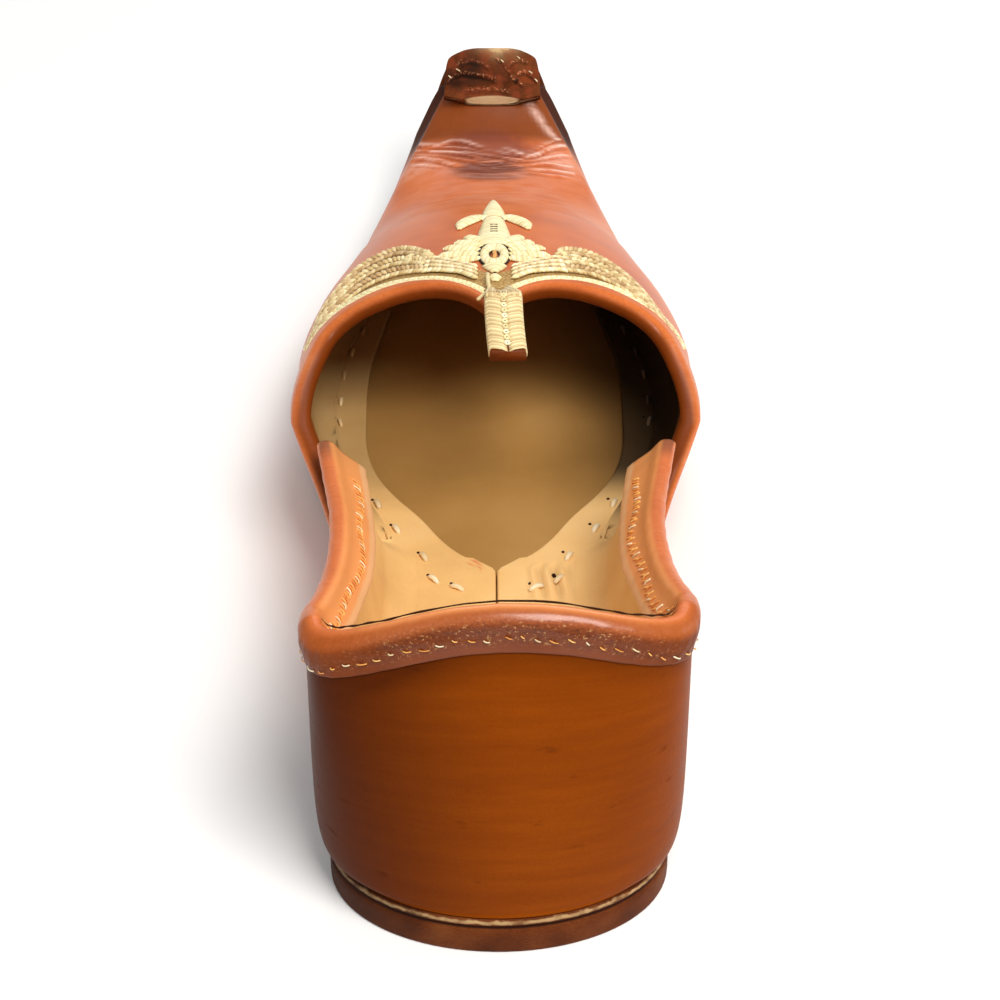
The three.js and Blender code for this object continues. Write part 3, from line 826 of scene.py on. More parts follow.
def sole_place(along, across, up):
    """A place in the sole, up from 0 at the tread to 1 at the top."""
    flap = ease(along, turn_length - 2, turn_length + 2)
    cut = raw_start(across)
    skive = np.clip((along - cut) / (strip_length - cut), 0, 1) * flap
    waist = waist_lift * window(along, (0.2 * length, 0.36 * length), (0.36 * length, 0.5 * length))
    ridge, slit = fold_height(along, across)
    lumps = flap_relief(along, across) + 0.6 * ridge - 0.5 * slit
    up = lerp(up, np.maximum(up, 0.85 * skive), flap)
    height = lerp(waist, sole_thickness(along), up) - flap * (1 - up) * lumps
    bowed = ease(along, strip_length - 6, strip_length) * (0.3 - 1.6 * flap_side(across) ** 2)
    return over_tread(along + bowed, across, height)


def sole_marks(along, across, up):
    on_flap = along > turn_length - 2
    ridge, slit = fold_height(along, across)
    start = raw_start(across)
    raw = ease(along, start - 0.25, start + 0.1) * (1 - ease(np.abs(flap_side(across)), 0.5, 0.58))
    # Painted shade under the flap's folds, on the sole's left side, and in the flap's dents and slits.
    dull = 0.75 * spot(along, across, (289, -4.6), (3.4, 3))
    dull = dull + 0.8 * spot(along, across, (293, -8.5), (1.6, 3))
    dull = dull + 0.6 * ease(-across, 4, 28) * (along < spring_start)
    dull = dull + on_flap * (0.7 * np.clip(-flap_relief(along, across), 0, 1) + 1.1 * slit)
    return {
        "lay": (across, along, up),
        "raw": raw,
        # A painted highlight on the crest of the fold.
        "lit": spot(along, across, (282.6, 1.8), (2.8, 3.6)),
        "dull": np.clip(dull, 0, 1),
        # Painted highlights along the ridges of the flap's folds.
        "fold": np.clip(2.2 * ridge * on_flap, 0, 1),
        "flap": along > turn_length - 4,
    }


def make_sole():
    at = np.concatenate(sole_rows)
    half = sole_half(at)
    rings, lay = plate(at, -half, half, sole_profile, sole_place, 60)
    marks = sole_marks(lay[..., 0], lay[..., 1], lay[..., 2])
    faces = plate_faces(*rings.shape[:2], len(sole_profile))
    make_piece("sole", rings, faces, [sole_leather], marks=marks, node="outsole", slot="sole_leather")


make_sole()


# %% [markdown]
# Inside lies a smooth leather bed, a thin plate on the sole that fills the foot room up to the walls. It is
# pressed in a little under the ball of the foot, and painted shade darkens its front, most on the right.

# %% Insole
bed_start = heel_back + wall + clearance
bed_end = fold_at - vamp_end - toe_room


def bed_half(at):
    depth = heel_depth - bed_start
    rest = np.clip(1 - (np.asarray(at, float) - bed_start) / depth, 0, 1)
    flat = np.maximum(at, heel_depth)
    lapped = np.where(flat > quarter_end, 0, tuck(flat))
    return (sole_half(flat) - seam_inset - lapped - wall - clearance) * np.sqrt(1 - rest * rest)


def bed_rows(end):
    return np.concatenate(
        [
            heel_rows(bed_start, heel_depth - bed_start),
            np.linspace(heel_depth, quarter_end, 70)[1:],
            np.linspace(quarter_end + clearance, end, 80),
        ]
    )


def insole_finish():
    finish = Finish("insole leather", {"Specular IOR Level": 0.25})
    cloud, fine = finish.noise(22, detail=3), finish.noise(0.5, detail=3, roughness=0.6)
    stain = finish.noise(55, detail=1)
    stops = [(0.2, dye(148, 108, 54)), (0.5, dye(174, 130, 70)), (0.8, dye(192, 150, 90))]
    colour = finish.dyed(cloud * 0.55 + stain * 0.35 + fine * 0.1, stops)
    # Painted shade over the front of the bed, strongest on the right.
    colour = finish.blend(finish.mark("deep"), colour, dye(58, 36, 14))
    return finish.done(colour, 0.48 + cloud * 0.2, fine, 0.04)


insole_profile = [(0, 0), (0, 0.6), (0.15, 0.9), (0.4, 1)]


def insole_place(along, across, up):
    worn = 0.35 * spot(along, across, (162, 0), (34, 24))
    return over_sole(along, across, clearance + up * (insole_leather - worn))


def make_insole():
    at = bed_rows(bed_end)
    half = bed_half(at)
    rings, lay = plate(at, -half, half, insole_profile, insole_place, 40)
    along, across = lay[..., 0], lay[..., 1]
    # Painted shade towards the front: strong on the right and weak on the left.
    deep = (0.75 * ease(across, 6, 30) + 0.3 * ease(-across, 14, 32)) * ease(along, 104, 140)
    marks = {"deep": deep}
    ring_piece("insole_bed", rings, insole_finish(), marks=marks, node="insole", slot="insole_leather")


make_insole()


# %% [markdown]
# The lining is soft undyed leather. It darkens where feet and dust have rubbed it, which a slow stain over
# its dyes gives. One mark paints shade where it lies in shadow towards the toe, and the mark torn reddens
# the edge of a small tear.

# %% Lining leather
def lining_finish():
    finish = Finish("lining leather", {"Specular IOR Level": 0.2})
    cloud, fine = finish.noise(14, detail=4), finish.noise(0.6, detail=4, roughness=0.65)
    stain = finish.noise(40, detail=2)
    stops = [(0.2, dye(206, 158, 96)), (0.5, dye(236, 190, 122)), (0.85, dye(246, 210, 150))]
    colour = finish.dyed(cloud * 0.5 + stain * 0.4 + fine * 0.1, stops)
    # The first layer is painted shade; the second reddens the edge of a real tear.
    layers = [(finish.mark("deep"), dye(34, 20, 9)), (finish.mark("torn"), dye(214, 96, 62))]
    colour = finish.layered(colour, layers)
    return finish.done(colour, 0.55 + cloud * 0.25, fine * 0.6 + cloud * 0.4, 0.12)


lining_leather_finish = lining_finish()


# %% [markdown]
# The lining's margins are turned in over the bed and stitched down. They meet behind in a short seam, and
# open from there in a V. Each is a plate like the bed, with its free edge from a table, and the right one
# wrinkles where the stitches pull: a few waves that rise and sink its upper face.

# %% Seat linings
def lining_at(share):
    return lerp(lining_meet, lining_end, share)


lining_edge = np.array(
    [
        (lining_at(0), 0),
        (lining_at(0.05), 0.31),
        (lining_at(0.11), 0.5),
        (lining_at(0.19), 0.63),
        (lining_at(0.26), 0.73),
        (lining_at(0.35), 0.79),
        (lining_at(0.57), 0.77),
        (lining_at(1), 0.8),
    ]
)


lining_profile = [(0, 0), (0, 0.7), (0.15, 0.92), (0.4, 1)]
tear_place, tear_radius = (97.5, -4.2), 1.9


def pulled(along, across, side):
    """Wrinkles of the right lining beside its stitches, in millimetres."""
    waves = np.sin((across - 6.5) * 2.1 + 0.25 * (along - 92)) * window(across, (5, 7.5), (13, 15.5))
    return (side > 0) * 0.5 * waves * window(along, (84, 90), (96, 99))


def seat_marks(along, across, side):
    # Painted shade over the front part, strong on the right and weaker on the left, and in the right lining's
    # wrinkle troughs.
    deep = (0.96 if side > 0 else 0.45) * ease(along, 116, 134)
    deep = deep + 0.5 * np.clip(-pulled(along, across, side), 0, 0.4)
    ahead, beside = along - tear_place[0], (across - tear_place[1]) * 2
    torn = bump(np.hypot(ahead, beside), tear_radius, 0.5) * (np.arctan2(ahead, beside) > -0.6)
    return {"deep": deep, "torn": 0.75 * torn * (side < 0)}


def make_seat_lining(word, side):
    at = bed_rows(lining_end)
    outer = bed_half(at)
    free = np.where(at > lining_meet, read(lining_edge, 1, np.maximum(at, lining_meet)) * outer, 0)
    inner = free + clearance / 2
    left, right = (inner, outer) if side > 0 else (-outer, -inner)

    def place(along, across, up):
        lift = up * (lining_leather + pulled(along, across, side))
        return over_sole(along, across, 2 * clearance + insole_leather + lift)

    rings, lay = plate(at, left, right, lining_profile, place, 80)
    more = {"marks": seat_marks(lay[..., 0], lay[..., 1], side), "slot": "lining_leather"}
    ring_piece("seat_flap_" + word, rings, lining_leather_finish, node="seat_lining_" + word, **more)


make_seat_lining("left", -1)
make_seat_lining("right", 1)


# %% [markdown]
# The quarter is one strip of saddle-brown leather round the heel. Its dye was wiped on along the strip, so
# it is streaked sideways, and its polish dulls where it is scuffed. Noise that is drawn out along the strip
# gives both, and painted shade darkens the left side, the rim under the binding and the hidden ends.

# %% Quarter leather
def quarter_finish():
    finish = Finish("quarter leather", {"Specular IOR Level": 0.04})
    streak = finish.noise(4.5, finish.places((0.22, 0.4, 2.2)), detail=5, roughness=0.65)
    cloud, fine = finish.noise(28, detail=2), finish.noise(0.45, detail=3)
    scuff = finish.noise(5, finish.places((0.6, 0.6, 2)), detail=3).over(0.66, 0.78)
    stops = [(0.2, dye(112, 46, 0)), (0.5, dye(130, 58, 1)), (0.8, dye(148, 70, 4))]
    colour = finish.dyed(streak * 0.45 + cloud * 0.35 + fine * 0.2, stops)
    # Scuffs are dark wear; the marked layer is painted shade.
    layers = [(scuff * 0.4, dye(70, 26, 4)), (finish.mark("shade") * 0.8, dye(56, 16, 0))]
    colour = finish.layered(colour, layers)
    return finish.done(colour, 0.34 + streak * 0.16 + scuff * 0.2, streak * 0.5 + fine * 0.5, 0.08)


quarter_leather = quarter_finish()


# %% [markdown]
# The wall of the quarter is a sheet with an outer and an inner face, both taken from the same surface at two
# depths. Only the outer leather is in this piece; the lining stands inside it as a piece of its own.

# %% Quarter
leather_face = 1.1  # outer leather of the wall, in millimetres; the rest is lining


def make_quarter():
    around, share = np.linspace(-1, 1, 321), np.linspace(0, 1, 56)[:, None]
    outer, inner = on_quarter(around, share, 0), on_quarter(around, share, leather_face)
    # Painted shade: the left side, away from the key light, the rim under the binding behind, and the front
    # ends.
    shade = ease(-outer[..., 0], -6, 31) + 0.7 * ease(share, 0.78, 0.95) * ease(1 - np.abs(around), 0.6, 0.7)
    shade = shade + ease(np.abs(around) + 0 * share, 0.9, 0.97)
    more = {"marks": {"shade": np.clip(shade, 0, 1)}, "node": "quarter", "slot": "quarter_leather"}
    shell_piece("quarter_leather", outer, inner, quarter_leather, **more)


make_quarter()


# %% [markdown]
# The lining stands against the wall, turns a soft corner above the bed and runs in over it, so that no gap
# shows at the seam. It follows the quarter's surface a little further in, and its front end is drawn out
# behind the wing of the vamp, where the vamp's own lining takes over.

# %% Lining of the quarter
bed_top = 2 * clearance + insole_leather + lining_leather
foot_radius, foot_reach = 4.5, 0.5


def turned_in(wall_place, inward, rise, foot):
    """Bends a wall's face round a soft corner where it nears the bed, and runs it in over the bed."""
    inward = unit(inward * (1, 1, 0))
    turn = np.clip(1 - rise / foot_radius, 0, 1)
    reach = foot_radius * (1 - np.sqrt(1 - turn**2)) + foot
    return wall_place + inward * reach[..., None]


def quarter_lining_face(around, rows, face, thin):
    """Rows from 0 to 1 run in over the bed, up round the corner and up the wall."""
    low = on_quarter(around, 0, 0)[..., 2]
    height = on_quarter(around, 1, 0)[..., 2] - low
    start = (bed_top - clearance - thin) / height
    foot = foot_reach * np.clip(1 - rows / 0.1, 0, 1)
    share = lerp(start, 0.97, np.clip(rows / 0.9 - 0.1 / 0.9, 0, 1) ** 1.4)
    place = on_quarter(around, share, face)
    inward = on_quarter(around, share, face + 1) - place
    return turned_in(place, inward, place[..., 2] - low - (bed_top - clearance - thin), foot)


def make_quarter_lining():
    around, rows = np.linspace(-1, 1, 241), np.linspace(0, 1, 60)[:, None]
    around = around * (1 + 0.055 * ease(np.abs(around), 0.88, 1) * (1 - rows) ** 1.5)
    spread = np.sign(around) * (wall + lap - 0.4) * ease(np.abs(around), 1, 1.05)
    spread = spread[..., None] * (1, 0, 0)
    inner = quarter_lining_face(around, rows, wall, -0.12) + spread
    outer = quarter_lining_face(around, rows, leather_face + 0.1, 0.1) + spread
    shell_piece("quarter_lining", outer, inner, lining_leather_finish, slot="lining_leather")


make_quarter_lining()


# %% [markdown]
# The vamp is pulled wet over the last and waxed. It is a brighter orange than the quarter, with painted
# shade in the hollow of the toe and its creases' troughs, and painted highlights on the ridges of the
# creases and over the toe. Under the embroidery's band it shows the ground thread, so one mark there takes
# the wax away and lays a thread colour over the leather.

# %% Vamp leather
def vamp_finish():
    finish = Finish("vamp leather", {"Specular IOR Level": 0.18, "Coat Roughness": 0.16})
    cloud, fine = finish.noise(20, detail=3), finish.noise(0.5, detail=3)
    stain = finish.noise(6, detail=4, roughness=0.6)
    stops = [(0.2, dye(176, 80, 32)), (0.5, dye(208, 108, 54)), (0.8, dye(228, 134, 80))]
    rubbed = finish.mark("burnish") * (0.45 + 0.9 * finish.noise(2.2, detail=4))
    shine, laid = finish.mark("shine"), finish.mark("laid")
    broken = finish.noise(1.8, finish.places((0.25, 1, 1)), detail=3).over(0.3, 0.62)
    thread = finish.noise(0.5, finish.places((1, 2.5, 1)), detail=3).over(0.35, 0.7)
    layers = [
        (finish.mark("tip") * (0.8 + 0.3 * stain), dye(130, 62, 18)),
        (rubbed.over(0.15, 0.95) * 0.7, dye(118, 58, 48)),
        # Painted shade in the hollow of the toe and in the troughs of the creases.
        (finish.mark("hollow").over(0.1, 1.1) * 0.85, dye(92, 30, 12)),
        # Painted highlights on the ridges of the creases and over the toe.
        (shine * (0.15 + 0.75 * broken), dye(246, 202, 184)),
        (finish.mark("edge") * 0.9, dye(52, 20, 8)),
        (laid, finish.blend(thread, dye(140, 100, 52), dye(214, 182, 118))),
    ]
    colour = finish.layered(finish.dyed(cloud * 0.65 + stain * 0.35, stops), layers)
    # The same mark also adds to the clear coat.
    finish.set("Coat Weight", 0.12 - laid * 0.12 + shine * 0.5)
    return finish.done(colour, 0.32 + stain * 0.12 + laid * 0.35, fine * 0.6 + stain * 0.4, 0.07)


vamp_leather = vamp_finish()


# %% [markdown]
# Two things of the vamp are charted. The band of embroidery on each side is given by its innermost
# and outermost row of beads, as (arc, along) places. The creases are lines across the toe, each with a rise
# and a half width, where the wet leather folded as the toe was bent up.

# %% Charts of the vamp
# The band on the right side, 1, and on the left, -1.
band_lines = {
    1: (
        [(0.115, 151.5), (0.156, 153), (0.187, 152.5), (0.22, 151), (0.25, 149), (0.28, 147.6)]
        + [(0.33, 146), (0.37, 143.8)],
        [(0.105, 162.5), (0.116, 165.6), (0.156, 168), (0.187, 166.9), (0.218, 164.1), (0.249, 159.8)]
        + [(0.273, 155.5), (0.296, 151.1), (0.335, 147.3), (0.375, 144.6)],
    ),
    -1: (
        [(0.115, 151.5), (0.15, 153.4), (0.18, 154.2), (0.22, 153.6), (0.26, 151.4), (0.3, 149)]
        + [(0.34, 147), (0.38, 144.6)],
        [(0.105, 162.5), (0.118, 164.5), (0.137, 168.2), (0.171, 172.1), (0.211, 172.8), (0.255, 171.5)]
        + [(0.288, 166.8), (0.325, 159.1), (0.354, 150.1), (0.391, 145.2)],
    ),
}
edge_line = throat[:9, 2], throat[:9, 1]
wing_rim = (0, 0.02, 0.057, 0.1), (146, 149, 153.5, 159.5)

# Each crease: (arc, along) places on its ridge from left to right, its rise and its half width.
creases = [
    (
        [(-0.44, 254), (-0.378, 253.4), (-0.25, 252.3), (-0.181, 253.5), (-0.119, 253.3)]
        + [(-0.061, 251.4), (-0.02, 249.6)],
        0.36,
        0.55,
    ),
    (
        [(-0.42, 251.8), (-0.345, 251.4), (-0.249, 250.2), (-0.182, 249.6), (-0.107, 248.7), (-0.05, 247)],
        0.4,
        0.5,
    ),
    ([(-0.4, 249.2), (-0.312, 248.6), (-0.229, 247.1), (-0.164, 245), (-0.105, 243)], 0.36, 0.6),
    ([(-0.06, 244.4), (-0.004, 244.9), (0.045, 245.6)], 0.4, 0.6),
    (
        [(0.04, 250.6), (0.089, 249.1), (0.134, 247.2), (0.178, 248.5), (0.258, 251.4)]
        + [(0.346, 252.7), (0.42, 253)],
        0.4,
        0.6,
    ),
    ([(0.13, 244.2), (0.209, 245.2), (0.274, 244.9), (0.36, 245.4)], 0.38, 0.5),
    ([(0.12, 242.1), (0.205, 242.2), (0.264, 242.3), (0.35, 243)], 0.32, 0.55),
    ([(0, 249.4), (0.026, 249), (0.074, 248.5), (0.12, 248)], 0.3, 0.55),
    ([(-0.1, 240.2), (0, 239.4), (0.1, 240)], 0.25, 1.4),
    ([(-0.4, 252.8), (-0.3, 251.8), (-0.2, 251.6), (-0.1, 250.6), (-0.03, 248.8)], 0.28, 0.4),
    ([(-0.42, 250.6), (-0.32, 249.9), (-0.22, 248.6), (-0.12, 246.4), (-0.05, 244.8)], 0.26, 0.38),
    ([(-0.38, 246.6), (-0.28, 245.6), (-0.18, 243.4)], 0.24, 0.45),
    ([(-0.14, 250.4), (-0.06, 248.4), (0.03, 247), (0.1, 245.4)], 0.3, 0.4),
    ([(0.06, 246.4), (0.14, 245.8), (0.22, 247.6), (0.31, 249.2), (0.4, 249.6)], 0.32, 0.45),
    ([(0.16, 249.9), (0.24, 252.6), (0.33, 254.6), (0.4, 255)], 0.26, 0.4),
    ([(0.1, 240.8), (0.2, 240.2), (0.3, 240.7)], 0.2, 0.5),
    ([(-0.02, 242.6), (0.06, 243.2), (0.12, 243.9)], 0.26, 0.4),
]


def crease_height(along, arc):
    """Ridges of the creases and the trough on the heel side of each."""
    height = 0
    for rise, off in charted(creases, along, arc, 0.02, 0.05):
        height = height + 1.3 * rise * (bump(off, 0, 1) - 0.85 * bump(off, -1.8, 1))
    return height


def laid_ground(along, arc):
    """1 where the vamp's leather is hidden under the embroidery band's ground."""
    part = np.abs(arc)
    low = np.interp(part, *edge_line) + throat_leaf
    left, right = (np.interp(part, *np.array(band_lines[side][1]).T) for side in (-1, 1))
    rows = np.where(np.asarray(arc) < 0, left, right)
    high = np.where(part < 0.1, np.interp(part, *wing_rim), rows)
    inside = window(along, (low - 0.4, low + 0.3), (high - 0.5, high + 0.3))
    return inside * (1 - ease(part, 0.37, 0.4))


charted_places = sum(len(row) for rows in band_lines.values() for row in rows)
print(len(creases), "creases, and", charted_places, "charted places of the band")


# %% [markdown]
# The vamp is a sheet like the quarter, with its grid packed tight over the creases. The creases raise and
# sink its outer face, since light catches real folds from every side. The same heights tell the finish
# where to paint shade in the hollow and the troughs, and where to paint highlights on the ridges.

# %% Vamp
vamp_across = [
    np.linspace(-1, -0.2, 50, endpoint=False),
    np.linspace(-0.2, 0.2, 111),
    np.linspace(0.2, 1, 51)[1:],
]
vamp_ahead = [
    np.linspace(0, 0.76, 40, endpoint=False),
    np.linspace(0.76, 0.91, 140),
    np.linspace(0.91, 1, 16)[1:],
]


hollow_middle = (241.5, -0.01)


def vamp_marks(along, arc, creased):
    burnish = spot(along, arc, (253, -0.03), (5, 0.17)) + 0.85 * spot(along, arc, (248.5, 0.01), (4.5, 0.22))
    # Painted highlights: crease ridges, two spots on the toe's sides, a streak on the tip's right and a broad
    # sheen.
    shine = np.clip(creased / 0.5, 0, 1) * (1 - 0.6 * spot(along, arc, (248, 0), (9, 0.13)))
    for middle in ((246, -0.34), (246, 0.32)):
        shine = shine + 0.4 * spot(along, arc, middle, (5, 0.12))
    streak = np.interp(along, (254, 268), (0.34, 0.22))
    shine = shine + 0.8 * bump(arc, streak, 0.035) * ease(along, 253, 257)
    shine = shine + 0.22 * spot(along, arc, (222, 0.02), (20, 0.28))
    return {
        "burnish": burnish,
        # Painted shade in the hollow of the toe and in the troughs of the creases.
        "hollow": 0.9 * spot(along, arc, hollow_middle, (4.2, 0.11)) + 0.5 * np.clip(-creased / 0.3, 0, 1),
        "tip": ease(along, 251, 256),
        "shine": np.clip(shine, 0, 1),
        "edge": ease(np.abs(arc), 0.44, 0.5) * ease(along, 244, 256),
        "laid": laid_ground(along, arc),
    }


def make_vamp():
    along, arc = vamp_grid(np.concatenate(vamp_across), np.concatenate(vamp_ahead)[:, None])
    creased = crease_height(along, arc) - 0.6 * spot(along, arc, hollow_middle, (4, 0.12))
    outer, inner = on_vamp(along, arc, -creased), on_vamp(along, arc, leather_face)
    more = {"marks": vamp_marks(along, arc, creased), "node": "vamp", "slot": "vamp_leather"}
    shell_piece("vamp_leather", outer, inner, vamp_leather, **more)


make_vamp()


# %% [markdown]
# The vamp's lining does what the quarter's does: up against the wall, round a soft corner and in over the
# bed. Past the turned-in margins it has no foot, and painted shade darkens it towards the toe and the right.

# %% Lining of the vamp
def vamp_lining_face(around, rows, face, thin):
    foot = foot_reach * np.clip(1 - rows / 0.1, 0, 1)
    out = 1 - np.clip(rows / 0.9 - 0.1 / 0.9, 0, 1) ** 1.2
    along, arc = vamp_grid(around, lerp(0.004, 1, out))
    limit = 1 - (bed_top - clearance - thin) / read(vamp_rows, 2, along) * (1 - widest_arc)
    arc = np.where(along < spring_start, np.clip(arc, -limit, limit), arc)
    place = on_vamp(along, arc, face)
    inward = (0, 0, 0) - place * (1, 0, 0)
    inward = inward + np.where(np.abs(inward[..., :1]) < 1, (0, -1, 0), (0, 0, 0))
    rise = place[..., 2] - over_sole(along, 0, bed_top - thin)[..., 2]
    return turned_in(place, inward, np.maximum(rise, 0), foot * (along < lining_end))


def make_vamp_lining():
    around, rows = np.linspace(-1, 1, 241), np.linspace(0, 1, 90)[:, None]
    inner = vamp_lining_face(around, rows, wall, -0.12)
    outer = vamp_lining_face(around, rows, leather_face + 0.1, 0.1)
    # Painted shade over the walls towards the toe, nearly black on the right and half as dark on the left.
    deep = np.where(inner[..., 0] > 0, 0.98, 0.5) * ease(np.abs(inner[..., 0]), 5, 25)
    more = {"marks": {"deep": deep * ease(inner[..., 1], 108, 124)}, "slot": "lining_leather"}
    shell_piece("vamp_lining", outer, inner, lining_leather_finish, **more)


make_vamp_lining()


# %% [markdown]
# Cut edges are bound with a strip of thin orange leather, folded over the edge and stitched through. The
# fold makes a shiny roll with fine ribs along it. One finish serves every strip: marks turn it brown round
# the heel, worn where a foot rubs it, and pale at its cut edge. Marks also paint shade over the collar's
# ends and under the throat's roll, and a highlight on the collar's roll behind the heel.

# %% Binding leather
def binding_finish():
    finish = Finish("binding leather", {"Specular IOR Level": 0.12, "Coat Roughness": 0.22})
    cloud = finish.noise(11, detail=4)
    fibre = finish.noise(0.8, detail=4, roughness=0.65)
    drawn_out = {0: finish.mark("lay", "Vector"), 1: (1, 0.12, 1)}
    lay = finish.node("ShaderNodeVectorMath", {"operation": "MULTIPLY"}, drawn_out)
    ribs = finish.noise(1.1, lay, detail=3)
    stops = [(0.2, dye(168, 76, 26)), (0.5, dye(206, 106, 46)), (0.8, dye(226, 138, 76))]
    speck = finish.noise(0.7, finish.places((1, 1, 1.6)), detail=3, roughness=0.7)
    worn, brown = finish.mark("worn"), finish.mark("brown")
    layers = [
        # Brown dye round the heel and on the tab; under the throat's roll the same layer is painted shade.
        (brown * (0.82 + 0.3 * cloud), dye(112, 47, 2)),
        # Painted shade over the collar binding's ends; on the tab's core it darkens it a little.
        (finish.mark("hidden"), dye(66, 34, 14)),
        (worn * speck.over(0.52, 0.66) * 0.8, dye(74, 30, 10)),
        (worn * (1 - speck.over(0.33, 0.42)), dye(206, 158, 104)),
        # A paler inner leaf along the collar's sides, and a painted highlight on the roll's top behind the
        # heel.
        (finish.mark("fair") * 0.75, dye(242, 164, 98)),
        (finish.mark("pale"), dye(232, 196, 148)),
    ]
    colour = finish.layered(finish.dyed(cloud * 0.45 + fibre * 0.3 + ribs * 0.25, stops), layers)
    finish.set("Coat Weight", 0.3 - brown * 0.26 + finish.mark("rough") * 0.5)
    height = fibre * 0.4 + ribs * 0.4 + speck * worn * 4 + cloud * 0.2
    return finish.done(colour, 0.36 + fibre * 0.2, height, 0.14)


binding_leather_finish = binding_finish()


# %% [markdown]
# Across, a binding is always the same: a leaf up the outside, a roll over the edge and a leaf down the
# inside. It is drawn once as a ring of places, down from the edge and off the wall, and carried along an
# edge. That is what a sweep along a curve does too, but here both numbers can follow the leather's surface.

# %% Section of a binding
roll_depth, leaf_top = 1.0, 1.6


def binding_section(outer_leaf, inner_leaf):
    """Ring of (down, off): the outer leaf up, over the roll, down the inner leaf and back inside."""
    near, far = clearance, binding_rise
    steps, angles = np.linspace(0, 1, 9), np.radians(np.linspace(0, 180, 19))
    cut = [(1, 0), (1, 0.5), (0.97, 0.8)]
    outer_cut = [(outer_leaf * down, near + binding_leather * off) for down, off in cut]
    inner_cut = [(inner_leaf * down, -wall - near - binding_leather * off) for down, off in cut[::-1]]
    outside = [(lerp(0.9 * outer_leaf, leaf_top, step), far) for step in steps]
    inside = [(lerp(leaf_top, 0.9 * inner_leaf, step), -wall - far) for step in steps]
    reach, half = roll_depth + far, wall / 2 + far
    roll = [(roll_depth - reach * math.sin(a), half * math.cos(a) - wall / 2) for a in angles]
    hidden = [(-near, -wall - near), (-near, near)]
    return np.array(outer_cut + outside + roll + inside + inner_cut + hidden)


print("a binding's section has", len(binding_section(collar_leaf, collar_inner_leaf)), "places")


# %% [markdown]
# The collar's binding is worn: small dents, a crumpled stretch behind the heel, and an inner leaf that has
# come away from the wall along the sides. Sums of sines give the dents, the same on every run, and the
# lower edge of the outer leaf is pressed into the quarter by its seam.

# %% Collar binding
def leaning(around, down):
    """How far the inner leaf leans in along the sides."""
    return 3.2 * ease(np.abs(around), 0.36, 0.46) * ease(down, 0.5, collar_inner_leaf)


def collar_marks(around, down, off):
    sides = ease(np.abs(around), 0.36, 0.46)
    back = 1 - sides
    middle = off + wall / 2
    outside = middle > 0
    brown = back * ease(middle, -0.5, 1.2) * (0.55 + 0.45 * ease(down, -0.3, 1.4))
    # The crown is a painted highlight on the top of the roll behind the heel.
    crown = bump(around, 0, 0.12) * bump(middle, 0, 0.7) * (down < 0.5)
    rubbed = 0.5 * bump(down, 3.6, 0.9) + bump(around, 0.02, 0.15) * bump(down, 1.4, 1.6)
    return {
        "brown": brown + 0.6 * sides * outside * ease(down, 2.2, 4),
        "fair": sides * ease(-middle, 0.2, 1.4) + 0.7 * crown,
        # Painted shade where the binding's ends run in under the vamp.
        "hidden": 0.6 * ease(np.abs(around), 0.92, 0.99) * (off < 0.5),
        "worn": np.clip(rubbed, 0, 1) * outside * back * 0.9,
        "rough": bump(around, 0.02, 0.12) * outside,
        "pale": 0.5 * sides * (off < -wall) * ease(down, 4.6, 5.2),
        "lay": (around * 130, down, 0),
    }


def make_collar_binding():
    down, off = binding_section(collar_leaf, collar_inner_leaf).T
    around = np.linspace(1, -1, 361)[:, None]
    dents = 0.05 * np.sin(around * 61 + 2) * np.sin(around * 23) + 0.035 * np.sin(around * 140 + down)
    crumple = 0.34 * np.sin(around * 190 + down * 2) * np.sin(down * 3.1 + around * 90)
    crumple = crumple * bump(around, 0, 0.13) * bump(down, 2.2, 1.8) * (off > 0)
    pressed = 0.6 * ease(down, 1.5, 0.95 * collar_leaf) * (off > 0)
    lean = leaning(around, down) * (off < -wall)
    inset = pressed - off + lean - dents * (np.abs(off + wall / 2) > 1) - crumple
    rings = on_quarter(around, under_collar(around, down), inset)
    more = {"marks": collar_marks(around, down, off), "node": "collar_binding", "slot": "binding_leather"}
    ring_piece("collar_roll", rings, binding_leather_finish, **more)


make_collar_binding()


# %% [markdown]
# The throat's binding runs from wing to wing. Distances over the vamp's face are measured once, so that the
# leaf keeps its width round the heart. Its cut edge shows as a pale line where the seam has pressed it down.

# %% Throat binding
def vamp_reach(around):
    """Distance over the vamp's face from the throat to its far edge."""
    steps = np.linspace(0, 1, 25)
    places = on_vamp(*vamp_grid(np.asarray(around)[..., None], steps), 0)
    return np.linalg.norm(np.diff(places, axis=-2), axis=-1).sum(-1)


def make_throat_binding():
    leaf, off = binding_section(throat_leaf, throat_leaf).T
    around = np.linspace(-1, 1, 401)[:, None]
    span = vamp_reach(around)
    fit = np.minimum(1, leaf_share * span / throat_leaf)
    down = np.where(leaf > 0, leaf * fit, leaf)
    rings = on_vamp(*vamp_grid(around, down / span), -off)
    under = off < -wall / 2
    edge = ease(leaf, 0.84 * throat_leaf, 0.97 * throat_leaf)
    marks = {
        # The inside of the roll and its inner leaf are darkened with painted shade.
        "brown": 0.95 * ease(-off - wall / 2, -1.8, 0),
        "pale": edge * (0.8 * under + 0.75 * ease(np.abs(around), 0.5, 0.58) * ~under),
        "lay": (around * 150, leaf, 0),
    }
    more = {"marks": marks, "node": "throat_binding", "slot": "binding_leather"}
    ring_piece("throat_roll", rings, binding_leather_finish, **more)


make_throat_binding()


# %% [markdown]
# Thread is the smallest thing on the shoe that can still be seen. Its finish is a row of three dyes with a
# little sheen, and a tone kept on each thread tells neighbours apart. Gold work is hardly metallic: it is
# thread wound with a thin foil, and in the open it reads as a warm pale yellow.

